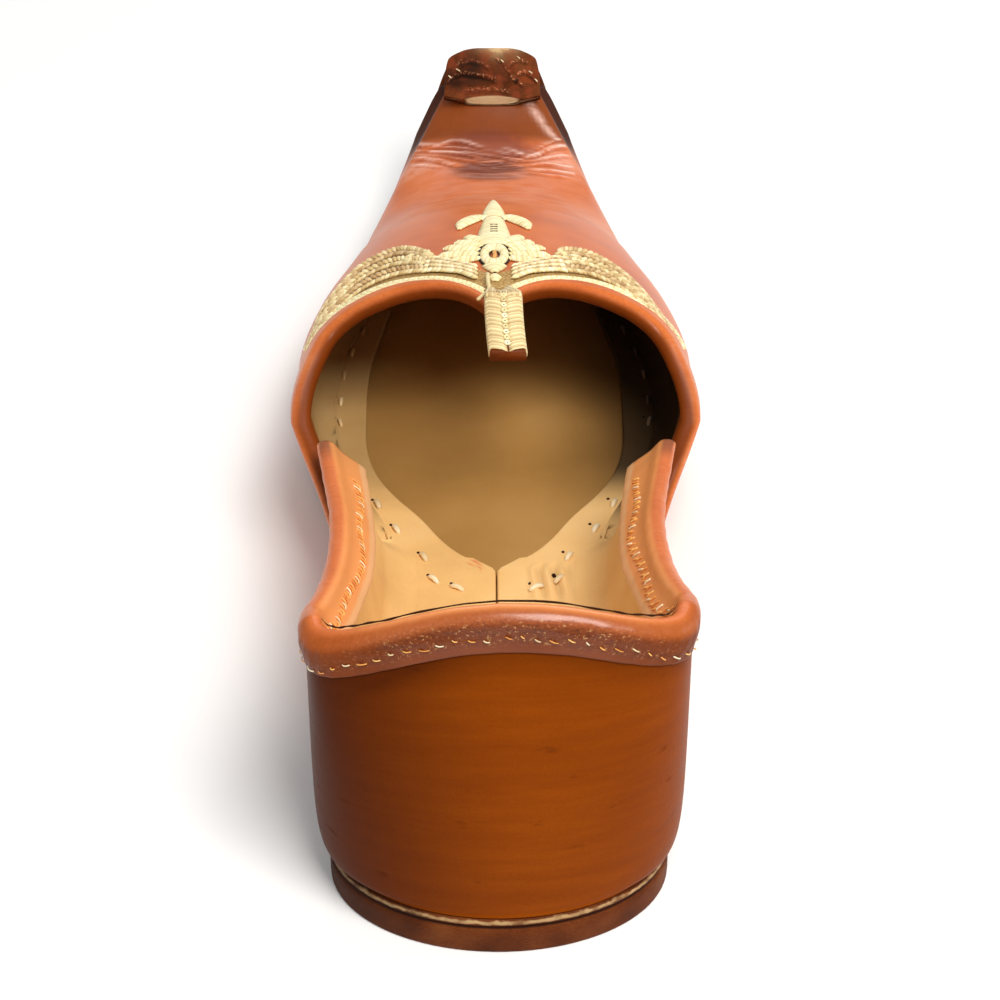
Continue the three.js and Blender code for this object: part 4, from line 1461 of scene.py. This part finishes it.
# %% Thread finishes
def thread_finish(name, dark, middle, light, metallic=0.05, gloss=0.15):
    numbers = {"Metallic": metallic, "Sheen Weight": 0.1, "Coat Weight": gloss, "Coat Roughness": 0.3}
    finish = Finish(name, {**numbers, "Specular IOR Level": 2 * gloss})
    fine = finish.noise(0.3, detail=2)
    tone = finish.mark("tone") * 0.55 + fine * 0.25 + finish.noise(4, detail=2) * 0.3
    colour = finish.dyed(tone, [(0.15, dark), (0.5, middle), (0.85, light)])
    return finish.done(colour, 0.36 + fine * 0.2, fine, 0.04)


gold = thread_finish("gold thread", dye(212, 186, 128), dye(246, 230, 172), dye(255, 250, 214))
aged = thread_finish("aged gold thread", dye(176, 140, 86), dye(222, 194, 136), dye(248, 232, 182))
beige = thread_finish("beige thread", dye(158, 118, 70), dye(206, 170, 116), dye(232, 206, 156))
# A dark thread for the right front stitches: grimy, and darkened further with painted shade.
grime_and_painted_shade = thread_finish("grimy thread", dye(50, 38, 28), dye(84, 66, 50), dye(120, 98, 76), metallic=0, gloss=0)
cream = thread_finish("cream thread", dye(206, 178, 130), dye(232, 210, 166), dye(246, 232, 198), metallic=0)
orange = thread_finish("orange thread", dye(196, 112, 38), dye(232, 160, 70), dye(246, 196, 112), metallic=0)
dark = thread_finish("dark thread", dye(26, 12, 5), dye(42, 20, 8), dye(70, 36, 16), metallic=0, gloss=0)


# %% [markdown]
# Every stitch is real geometry: a short round tube that rises out of the leather and goes down again.
# Thousands of curve objects would be slow, so one helper works out all the tubes of a group at once. The
# tones of the threads come from the golden ratio, which spreads them evenly and gives the same on each run.

# %% Threads as tubes
thread_sides, thread_flatness, golden_ratio = 6, 0.8, 0.618034


def threads(paths, radii, up):
    """Points and faces of round threads: paths is threads × stations × 3, radii threads × stations."""
    paths = np.asarray(paths, float)
    count, stations = paths.shape[:2]
    run = unit(np.gradient(paths, axis=1))
    beside = np.cross(run, np.broadcast_to(np.asarray(up, float), paths.shape))
    beside /= np.linalg.norm(beside, axis=2)[..., None] + 1e-9
    above = np.cross(beside, run)
    turns = np.linspace(0, 2 * math.pi, thread_sides, endpoint=False)[:, None]
    ring = np.cos(turns) * beside[:, :, None] + thread_flatness * np.sin(turns) * above[:, :, None]
    points = paths[:, :, None] + ring * np.broadcast_to(radii, (count, stations))[..., None, None]
    first = np.arange(count) * stations * thread_sides
    quads = grid_faces(thread_sides, stations, wrap=True)[None] + first[:, None, None]
    around = np.arange(thread_sides)
    caps = first[:, None] + around[::-1]
    far_caps = first[:, None] + (stations - 1) * thread_sides + around
    return points.reshape(-1, 3), quads.reshape(-1, 4).tolist() + caps.tolist() + far_caps.tolist()


def sew(name, groups, finishes, slot="tab_embroidery"):
    """One piece from groups of threads: (paths, radii, up, finish number)."""
    all_points, all_faces, kinds, tones, first, sewn = [], [], [], [], 0, 0
    for paths, radii, up, kind in groups:
        points, faces = threads(paths, radii, up)
        all_points.append(points)
        all_faces += [[first + corner for corner in face] for face in faces]
        kinds += [kind] * len(faces)
        count = len(paths)
        tones.append(np.repeat((np.arange(count) + sewn) * golden_ratio % 1, len(points) // count))
        first += len(points)
        sewn += count
    marks = {"tone": np.concatenate(tones)}
    make_piece(name, np.concatenate(all_points), all_faces, finishes, kinds, marks=marks, slot=slot)
    print(f"{name}: {sewn} threads")


bow = np.sin(np.linspace(0.12, math.pi - 0.12, 7))  # height of a stitch along itself
spindle = np.array([0.25, 0.85, 1.0, 0.85, 0.25])  # thickness of a bead along itself


def walk(line, pitch):
    """Places and directions at a steady pitch along a line of points."""
    line = np.asarray(line, float)
    run = running_length(line)
    at = np.arange(0.5 * pitch, run[-1], pitch)
    steps = (at, at + 0.05, at - 0.05)
    here, ahead, behind = (np.stack([np.interp(s, run, column) for column in line.T], 1) for s in steps)
    return here, unit(ahead - behind)


def smooth_line(rows, count=60):
    """A smooth line of points through rows of numbers."""
    rows = np.asarray(rows, float)
    run = running_length(rows)
    table = np.column_stack([run, rows])
    at = np.linspace(0, run[-1], count)
    return np.stack([read(table, k + 1, at) for k in range(rows.shape[1])], 1)


print("a line of 10 mm walked in steps of 2.5 mm has", len(walk([(0, 0), (10, 0)], 2.5)[0]), "stitches")


# %% [markdown]
# From the dip of the heart a small stiff tongue points back over the opening. It is a folded strip of
# leather, brown where it is cut. It sits on the ridge of the vamp, and from there its free end sticks out
# straight with a slight droop, so it is a strip of rings along a bent spine.

# %% Tab
def tab_spine(share):
    """Middle of the tab's underside from its seat on the vamp to its free end."""
    share = np.asarray(share, float)
    seat = tab_length - tab_free
    run = share * tab_length
    on_ridge = on_vamp(throat_dip + np.maximum(seat - run, 0), 0, -(binding_rise + clearance))
    droop = heading(180 + tab_droop)
    free = np.maximum(run - seat, 0)[..., None] * np.array([0, droop[0], droop[1]])
    sway = np.stack([tab_shift + tab_swing * share**2, 0 * share, 0 * share], -1)
    return on_ridge + free + sway


def make_tab():
    share = np.linspace(0, 1, 60)[:, None]
    spine = tab_spine(share[:, 0])
    normal = np.cross(unit(np.gradient(spine, axis=0)), (-1, 0, 0))
    normal *= np.sign(normal[:, 2:])
    half, t = tab_width / 2, tab_thickness
    section = [(-half, 0), (half, 0), (half, 0.75 * t), (0.93 * half, 0.93 * t), (0.8 * half, t)]
    section += [(-0.8 * half, t), (-0.93 * half, 0.93 * t), (-half, 0.75 * t)]
    off, up = np.array(section).T
    rings = spine[:, None] + off[:, None] * np.array([1, 0, 0]) + up[:, None] * normal[:, None]
    more = {"marks": {"brown": 0.9, "hidden": 0.35}, "node": "throat_tab", "slot": "tab_embroidery"}
    ring_piece("tab_core", rings, binding_leather_finish, **more)


make_tab()


# %% [markdown]
# Gold thread is laid over the tab's top in two slanting columns, with a row of small loops down the middle.
# In front a bunch of threads runs from the top down to the ridge and ties the tab to the vamp.

# %% Threads of the tab
tab_pitch, tab_thread, loop_pitch, tie_count = 0.42, 0.27, 1.7, 13


def tab_seat(across, along):
    """A place on the vamp's ridge where a thread over the tab's front end goes down."""
    return on_vamp(along, widest_arc * across / read(vamp_rows, 1, along), -binding_rise)


def make_tab_threads():
    half, t = tab_width / 2, tab_thickness
    share = np.arange(0.015, 0.97, tab_pitch / tab_length)
    groups = []
    for side in (-1, 1):
        across = np.array([1.02, 1.02, 0.99, 0.86, 0.6, 0.3, 0.05]) * half * side
        up = np.array([0.2, 0.55, 0.9, 1.08, 1.16, 1.18, 1.06]) * t
        slant = np.array([0, 0, 0, 0.2, 0.6, 1, 1.3]) / tab_length
        paths = tab_spine(share[:, None] + slant) + across[:, None] * (1, 0, 0) + up[:, None] * (0, 0.1, 1)
        groups.append((paths, tab_thread * np.array([0.6, 1, 1, 1, 1, 0.95, 0.5]), (0, 0, 1), 0))
    turns = np.radians(np.linspace(0, 330, 9))
    loops = np.arange(0.1, 0.95, loop_pitch / tab_length)[:, None]
    middle = tab_spine(loops + 0.5 * np.sin(turns) / tab_length) + 0.42 * np.cos(turns)[:, None] * (1, 0, 0)
    groups.append((middle + (0, 0, 1.2 * t), 0.3, (0, 0, 1), 1))
    ties = []
    for across in np.linspace(-0.92, 0.92, tie_count) * half:
        top = tab_spine(0.12) + (across, 0, 1.2 * t)
        brow = tab_spine(0.0) + (across, 0.7, 0.9 * t)
        seat = throat_dip + 8.5 + 0.9 * abs(across)
        ties.append(smooth_line([top, brow, tab_seat(0.36 * across + 0.3 * tab_shift, seat)], 9))
    groups.append((np.array(ties), 0.32, (1, 0, 0), 0))
    sew("tab_threads", groups, [aged, gold])


make_tab_threads()


# %% [markdown]
# The gold work lies over the front of the heart. Its unit is the petal: a spine with a half width, filled
# with stitches across it that are bowed up over a padding. Drawn as single stitches, it catches the light
# the way satin stitch does, which no texture would.

# %% Petals
petal_pitch, petal_thread, petal_fullness = 0.42, 0.3, 1.12


def on_ridge(across, along, up):
    """A place on the vamp given by its distance to the side of the middle line."""
    half = read(vamp_rows, 1, along)
    arc = widest_arc * 2 / math.pi * np.arcsin(np.clip(np.asarray(across) / half, -1, 1))
    return on_vamp(along, arc, -np.asarray(up))


def petal(rows, rise, slant=0.25):
    """Satin stitches across a spine, each one bowed up over the padding."""
    places, run = walk(smooth_line(rows), petal_pitch)
    run = unit(run[:, :2])
    beside = np.stack([-run[:, 1], run[:, 0]], 1)
    s = np.linspace(-1, 1, 7)[None, :, None]
    half = np.maximum(petal_fullness * places[:, 2], 0.25)[:, None, None]
    spots = places[:, None, :2] + (beside[:, None] * s - run[:, None] * slant * (1 - np.abs(s))) * half
    up = 0.1 + rise * bow * np.minimum(half[..., 0] / 1.2, 1)
    paths = on_ridge(spots[..., 0], spots[..., 1], up)
    return paths, petal_thread * np.array([0.7, 0.95, 1, 1, 1, 0.95, 0.7]), (0, 0.3, 1), 0


def mirrored(rows):
    return [(-row[0], *row[1:]) for row in rows]


print("a short petal has", len(petal([(0, 150, 1), (0, 155, 1)], 0.8)[0]), "stitches")


# %% [markdown]
# In the middle of the gold work stands a lotus: a bud on a trunk, two curled leaves, a ring with five petals
# on each side, and a cup. It is charted petal by petal; the numbers are (across, along, half width), and
# the parts of the middle have the rise of their padding as well.

# %% Lotus
side_leaf = [(1.8, 184.2, 0.9), (3.4, 184.9, 1.5), (5, 183.9, 1.9), (6.4, 181.4, 1.6), (7.4, 177.6, 0.3)]
wing_petals = [
    [(1.9, 165.2, 0.6), (3.6, 168.2, 1.5), (5, 169.9, 1.3), (6.2, 170.6, 0.3)],
    [(2.7, 163.2, 0.6), (5, 165.6, 1.6), (7, 166.8, 1.4), (8.4, 167, 0.3)],
    [(3.1, 160.8, 0.6), (6.2, 162.6, 1.6), (8.8, 163.9, 1.4), (10.6, 164.2, 0.3)],
    [(3.2, 158, 0.6), (6.4, 159, 1.6), (9.6, 159.6, 1.5), (11.7, 159.4, 0.3)],
    [(3, 155.2, 0.6), (5, 155.4, 1.5), (7.2, 155.4, 1.2), (9, 155.8, 0.3)],
]
middle_parts = [
    ([(0, 183.9, 1.9), (0, 187, 2.1), (0, 191, 1.8), (0, 196, 1.1), (0, 200.5, 0.3)], 0.9),
    ([(0, 163.8, 3), (0, 167, 3.2), (0, 170, 3.1), (0, 175, 2.7), (0, 180, 2.2), (0, 183.2, 1.9)], 1.0),
    ([(0, 150.6, 2.3), (0, 148.6, 1.7), (0, 146.2, 0.4)], 0.8),
    ([(0, 144.8, 0.7), (0.1, 143.2, 1.1), (0.1, 141.6, 0.4)], 0.6),
]
ring_middle, ring_radii = (0, 157.4), (2.9, 7.4)


def ring_threads():
    """Stitches from the inner to the outer edge of the ring."""
    turns = np.linspace(0, 2 * math.pi, 54, endpoint=False)[:, None]
    share = np.linspace(0.42, 1, 7)
    across = ring_middle[0] + ring_radii[0] * share * np.cos(turns)
    along = ring_middle[1] + ring_radii[1] * share * np.sin(turns)
    return on_ridge(across, along, 0.15 + 0.95 * bow), 0.27, (0, 0.3, 1), 0


def ring_cord(share, radius, start, end):
    turns = np.radians(np.linspace(start, end, 41))
    across, along = ring_radii[0] * share * np.cos(turns), ring_radii[1] * share * np.sin(turns)
    return on_ridge(ring_middle[0] + across, ring_middle[1] + along, 0.3)[None], radius, (0, 0.3, 1), 1


def make_motif():
    groups = [petal(rows, rise, slant=0) for rows, rise in middle_parts]
    for rows in [side_leaf] + wing_petals:
        groups += [petal(rows, 0.8), petal(mirrored(rows), 0.8)]
    groups += [ring_threads(), ring_cord(1.1, 0.24, -62, 50), ring_cord(1.1, 0.24, 130, 242)]
    groups.append(ring_cord(0.36, 0.22, 0, 360))
    heart = smooth_line([(0, 155.2), (0.1, 157.4), (0, 159.4)], 9)
    groups.append((on_ridge(heart[:, 0], heart[:, 1], 0.35)[None], 0.5, (0, 0, 1), 2))
    stem = smooth_line([(-1.4, 143), (-1.3, 138.4), (-1.2, 135.4), (-3.3, 131)], 15)
    groups.append((on_ridge(stem[:, 0], stem[:, 1], binding_rise + 0.35)[None], 0.42, (0, 0, 1), 0))
    ladder = np.linspace(-1, 1, 5)
    rungs = np.array([176.6, 174.9, 173.2, 171.5])[:, None]
    groups.append((on_ridge(0.75 * ladder + 0 * rungs, rungs + 0 * ladder, 1.28), 0.13, (0, 0, 1), 1))
    sew("motif_threads", groups, [gold, dark, orange])


make_motif()


# %% [markdown]
# Behind a bright row of slanting stitches, the band beside the throat is filled with coiled thread. Each coil
# that shows is a short fat spindle leaning across its row. A coiled tube would need ten times the faces.

# %% Beads and rows of the band
bead_half_length, bead_thread = 0.95, 0.56


def beads(line, side, pitch, lean, kind):
    """Short fat spindles that lean across a row, as a coiled thread lies when it is couched down."""
    curve = np.asarray(line)
    row = on_vamp(curve[:, 1], side * curve[:, 0], -0.5)
    places, run = walk(row, pitch)
    normal = on_vamp(curve[:, 1], side * curve[:, 0], -1.5) - row
    length_share = np.linspace(0, 1, len(row))
    picks = np.linspace(0, 1, len(places))
    normal = np.stack([np.interp(picks, length_share, normal[:, k]) for k in range(3)], 1)
    lie = unit(run + side * lean * unit(np.cross(normal, run)))
    s = np.linspace(-1, 1, 5)[None, :, None]
    lift = 0.25 * (1 - s**2) * normal[:, None]
    paths = places[:, None] + s * bead_half_length * lie[:, None] + lift
    return paths, bead_thread * spindle, normal[:, None], kind


def beside_throat(around, distance, up):
    """A place some way over the vamp's face from the edge of the throat."""
    return on_vamp(*vamp_grid(around, distance / vamp_reach(around)), -np.asarray(up))


def throat_row(start, end, near, far, slant, side):
    """A row of stitches across the band, between two distances from the throat."""
    fine = np.linspace(start, end, 200)[:, None]
    run = running_length(beside_throat(side * fine, (near + far) / 2, 0)[:, 0])
    at = np.interp(np.arange(0, run[-1], 0.46), run, fine[:, 0])[:, None]
    s = np.linspace(0, 1, 7)
    lean = slant * (end - start) / run[-1]
    around = np.clip(at + lean * (s - 0.5), 0.001, 0.999)
    paths = beside_throat(side * around, lerp(near, far, s)[None] + 0 * around, 0.1 + 0.7 * bow)
    return paths, 0.3, (0, 0, 1), 0


print("distance from the throat's dip to the toe:", round(float(vamp_reach(0.0)), 1), "mm")


# %% [markdown]
# The band itself is a list of rows: two bright ones and a cord along the binding, seven rows of beads beside
# the lotus, and six on each side that fan out between the charted lines. A small ring and a bud close it.

# %% Band
bead_row_count = 6


def make_band():
    groups = []
    seat = throat_leaf + 0.25
    for side in (-1, 1):
        groups.append(throat_row(0.015, 0.4, seat, seat + 2.1, 1.2, side))
        groups.append(throat_row(0.02, 0.4, seat + 2, seat + 4.2, -1.2, side))
        fine = np.linspace(0.36, 0.6, 90)[:, None]
        cord = beside_throat(side * fine, seat + 0.3, 0.35)[:, 0]
        groups.append((cord[None], 0.42, (side, 0, 0.3), 0))
        for step in range(7):
            share = step / 6
            parts = np.linspace(0.03, 0.115, 14)
            low = np.interp(parts, *edge_line) + seat + 4.8
            high = np.interp(parts, *wing_rim) - 0.8
            along = lerp(low, np.maximum(high, low + 0.2), share)
            line = np.stack([parts, along], 1)
            groups.append(beads(line, side, 1.1, 0.7 if step % 2 else -0.4, step % 2))
    for side, (inner, outer) in band_lines.items():
        inner, outer = smooth_line(np.array(inner) * (100, 1)), smooth_line(np.array(outer) * (100, 1))
        for step in range(bead_row_count):
            line = lerp(inner, outer, step / (bead_row_count - 1)) / (100, 1)
            lean = 0.9 if step % 2 else -0.5
            groups.append(beads(line, side, 1.1 + 0.1 * (step % 2), lean, 1 if step in (1, 4) else 2))
    for side, middle in ((-1, (0.136, 162.3)), (1, (0.135, 161))):
        turns = np.linspace(0, 2 * math.pi, 17)
        places = on_vamp(middle[1] + 1.5 * np.sin(turns), side * (middle[0] + 0.012 * np.cos(turns)), -0.6)
        groups.append((places[None], 0.42, (0, 0, 1), 0))
        bud = np.linspace(0, 1, 7)
        places = on_vamp(161.2 + 0 * bud, side * lerp(0.12, 0.098, bud), -0.5)
        groups.append((places[None], 1.1 * np.array([0.3, 0.8, 1, 1, 0.9, 0.6, 0.2]), (0, 0, 1), 0))
    sew("band_threads", groups, [gold, beige, aged])


make_band()


# %% [markdown]
# Long stitches hold the seat linings down, each beside the hole of the awl, painted as a dark spot of shade.
# Behind they are thick and cream; further in they are thinner and beige where the foot has rubbed them, and
# on the right darker still with painted shade.

# %% Stitches of the seat
stitch_share = np.linspace(-1, 1, 7)
seat_stitches = [(30.6, 186), (32.2, 177), (32.7, 168), (32.8, 158), (32.7, 150)]
seat_stitches += [(24.3, 120), (20, 111), (16, 101), (12.3, 93), (7.7, 90)]


def over_seat(across, along, up):
    return over_sole(along, across, bed_top + up)


def make_seat_stitches():
    places = np.array(seat_stitches, float)
    run = unit(np.gradient(places, axis=0))
    reach = np.minimum(places[:, 0], bed_half(places[:, 1]) - 2.2)
    groups = []
    for side in (-1, 1):
        across = side * (reach[:, None] + 1.6 * stitch_share * run[:, :1])
        along = places[:, 1:] + 1.6 * stitch_share * run[:, 1:]
        paths = over_seat(across, along, 0.6 * bow - 0.1)
        front = places[:, 1] > 130
        thickness = np.array([0.6, 0.9, 1, 1, 1, 0.9, 0.6])
        groups.append((paths[~front], 0.6 * thickness, (0, 0, 1), 0))
        # Front stitches: beige on the left; the darker thread on the right carries painted shade.
        groups.append((paths[front], 0.42 * thickness, (0, 0, 1), 3 if side > 0 else 2))
        # A dark spot beside each stitch stands for the awl's hole, painted as shade.
        hole = np.linspace(-0.5, 0.5, 5)
        spots = over_seat(side * reach[:, None] - 1.1 + hole, places[:, 1:] + 1.7 + 0 * hole, -0.3)
        groups.append((spots, 0.62 * spindle, (0, 0, 1), 1))
    sew("seat_stitches", groups, [cream, dark, beige, grime_and_painted_shade], slot="lining_leather")


make_seat_stitches()


# %% [markdown]
# Round the collar there are three lines of thread: an uneven row outside the back, a thin dark line where
# the lining meets the roll, and small orange loops over the inner leaf. All are spaced by their true distance
# along the leather. A few sines make hand work of them, longer here and lower there.

# %% Stitches of the collar
def collar_run(reach, count, down, inset):
    """Places round the collar, from one side to the other, and how far along it each lies."""
    fine = np.linspace(-reach, reach, count)
    return fine, running_length(on_quarter(fine, under_collar(fine, down), inset))


def back_row():
    fine, run = collar_run(0.47, 400, 3.1, -binding_rise)
    at = np.arange(1.2, run[-1], 2.7)[:, None]
    around = np.interp(at + (0.6 + 0.25 * np.sin(at * 2.9)) * stitch_share, run, fine)
    down = 3.2 + 1.5 * ease(np.abs(around), 0.1, 0.3) + 0.35 * np.sin(at * 1.7) + 0.2 * stitch_share
    pressed = 0.45 * ease(down, 1.5, 5.7)
    paths = on_quarter(around, under_collar(around, down), pressed - binding_rise - 0.25 * bow)
    outward = on_quarter(around, 0.9, -1) - on_quarter(around, 0.9, 0)
    fair = np.arange(len(at)) % 3 == 1
    return [(paths[~fair], 0.12, outward[~fair], 2), (paths[fair], 0.13, outward[fair], 0)]


def lining_line():
    fine = np.linspace(-0.36, 0.36, 161)
    ragged = 0.05 * np.sin(fine * 90) + 0.06 * np.sin(fine * 37 + 1)
    line = on_quarter(fine, under_collar(fine, -0.62 - ragged), wall + 0.95)
    thin = 1 - 0.8 * ease(np.abs(fine), 0.24, 0.36)
    return [(line[None], thin * (0.19 + 0.05 * np.sin(fine * 140)), (0, 0, 1), 1)]


def inner_loops():
    fine, run = collar_run(0.93, 700, 3.4, wall + binding_rise)
    at = np.arange(1.5, run[-1], 1.3)[:, None]
    turn = np.sin(at * 2.4)
    around = np.interp(at + (0.45 + 0.3 * turn) * stitch_share, run, fine)
    down = 3.3 + 0.5 * np.sin(at * 0.21) + 0.35 * turn + 0.55 * stitch_share * (1 - 0.4 * turn)
    inset = wall + binding_rise + leaning(around, down) + 0.3 * bow
    paths = on_quarter(around, under_collar(around, down), inset)
    inward = on_quarter(around, 0.9, 1) - on_quarter(around, 0.9, 0)
    bright = np.arange(len(at)) % 5 == 2
    return [(paths[~bright], 0.17, inward[~bright], 2), (paths[bright], 0.19, inward[bright], 0)]


collar_groups = back_row() + lining_line() + inner_loops()
sew("collar_stitches", collar_groups, [cream, dark, orange], slot="binding_leather")


# %% [markdown]
# A few short stitches went through the flap before it was hammered down. They are given one by one as
# (across, along), with half a length each, and one hole of the awl beside them stayed empty.

# %% Stitches of the flap
flap_stitches = [(-8, 289.6), (-9.9, 291.3), (9, 290.2), (10.3, 292.2), (2.4, 287.4), (6.2, 286.6)]
flap_half_lengths = [0.45, 0.3, 0.4, 0.25, 0.3, 0.35]
flap_outward = (0, -0.8, 0.6)


def make_flap_stitches():
    places = np.array(flap_stitches)
    across = places[:, :1] + np.array(flap_half_lengths)[:, None] * stitch_share
    along = places[:, 1:] + 0.3 * stitch_share
    groups = [(over_tread(along, across, -0.5 - 0.15 * bow), 0.14, flap_outward, 0)]
    # The empty hole of the awl is a dark spot of painted shade.
    hole = np.linspace(-0.6, 0.6, 5)
    spots = over_tread(292.3 + 0 * hole, 5.8 + hole, -0.02)
    groups.append((spots[None], 0.7 * spindle, flap_outward, 1))
    sew("flap_stitches", groups, [cream, dark], slot="sole_leather")


make_flap_stitches()


# %% [markdown]
# The shoe stands on a plain pale floor. It is a single large square that belongs to the stage and not to
# the object, so that the export leaves it out.

# %% Floor
floor_half, floor_colour, floor_roughness = 4.0, (0.95, 0.95, 0.945, 1), 0.85


def make_floor():
    mesh = bpy.data.meshes.new("floor")
    corners = [(floor_half * x, floor_half * y, 0) for x, y in ((-1, -1), (1, -1), (1, 1), (-1, 1))]
    mesh.from_pydata(corners, [], [(0, 1, 2, 3)])
    finish = Finish("floor", {"Base Color": floor_colour, "Roughness": floor_roughness})
    mesh.materials.append(finish.material)
    floor = bpy.data.objects.new("floor", mesh)
    bpy.context.scene.collection.objects.link(floor)
    print("floor:", 2 * floor_half, "m wide")


make_floor()


# %% [markdown]
# A soft key light comes from above the viewer and a little to the right, as the shadow inside the right wall
# shows. A side light draws the edge of the sole, a weak wide fill keeps the left readable, and a light
# beyond the toe gives the creases their gleam. The pale world stands for a white room.

# %% Lights
def aim(item, place, target):
    item.location = place
    item.rotation_mode = "QUATERNION"
    item.rotation_quaternion = (Vector(target) - Vector(place)).to_track_quat("-Z", "Y")
    bpy.context.scene.collection.objects.link(item)


def make_light(name, place, target, size, power, colour=(1, 1, 1)):
    lamp = bpy.data.lights.new(name, "AREA")
    lamp.shape, lamp.size, lamp.size_y = "RECTANGLE", size[0], size[1]
    lamp.energy, lamp.color = power, colour
    aim(bpy.data.objects.new(name, lamp), place, target)
    print(f"{name}: {power} W")


shoe_middle, toe_middle = (0, 0, 0.02), (0, 0.05, 0.02)
warm, cool = (1, 0.97, 0.93), (0.95, 0.97, 1)
make_light("key", (0.22, -0.46, 0.82), shoe_middle, (0.4, 0.4), 8, warm)
make_light("side light", (0.8, 0.1, 0.3), shoe_middle, (0.4, 0.3), 1.2)
make_light("fill", (-0.7, -0.6, 0.7), shoe_middle, (0.8, 0.8), 1, cool)
make_light("toe light", (0.1, 0.75, 0.6), toe_middle, (0.7, 0.3), 2)

world_colour, world_strength = (1, 1, 1, 1), 0.38
world = bpy.data.worlds.new("studio")
bpy.context.scene.world = world
world.use_nodes = True
background = world.node_tree.nodes["Background"]
background.inputs["Color"].default_value = world_colour
background.inputs["Strength"].default_value = world_strength


# %% [markdown]
# The camera stands behind the heel and looks down along the shoe. Its place, tilt and lens were found by
# laying the model's outline over that of the real one until both agreed. The plain view transform keeps the
# floor white and the leather as strongly coloured as it is.

# %% Camera
camera_place, camera_tilt, camera_turn = (-0.0026, -0.4862, 0.3478), 90 - 36.56 + 1.12, -0.42
lens_length, sensor_width = 103.5, 36
lens = bpy.data.cameras.new("camera")
lens.lens, lens.sensor_width = lens_length, sensor_width
camera = bpy.data.objects.new("camera", lens)
camera.location = camera_place
camera.rotation_euler = (math.radians(camera_tilt), 0, math.radians(camera_turn))
bpy.context.scene.collection.objects.link(camera)
bpy.context.scene.camera = camera
bpy.context.scene.view_settings.view_transform = "Standard"
print(f"the camera looks {90 - camera_tilt:.1f} degrees down from {camera_place[2]:.3f} m above the floor")


# %% [markdown]
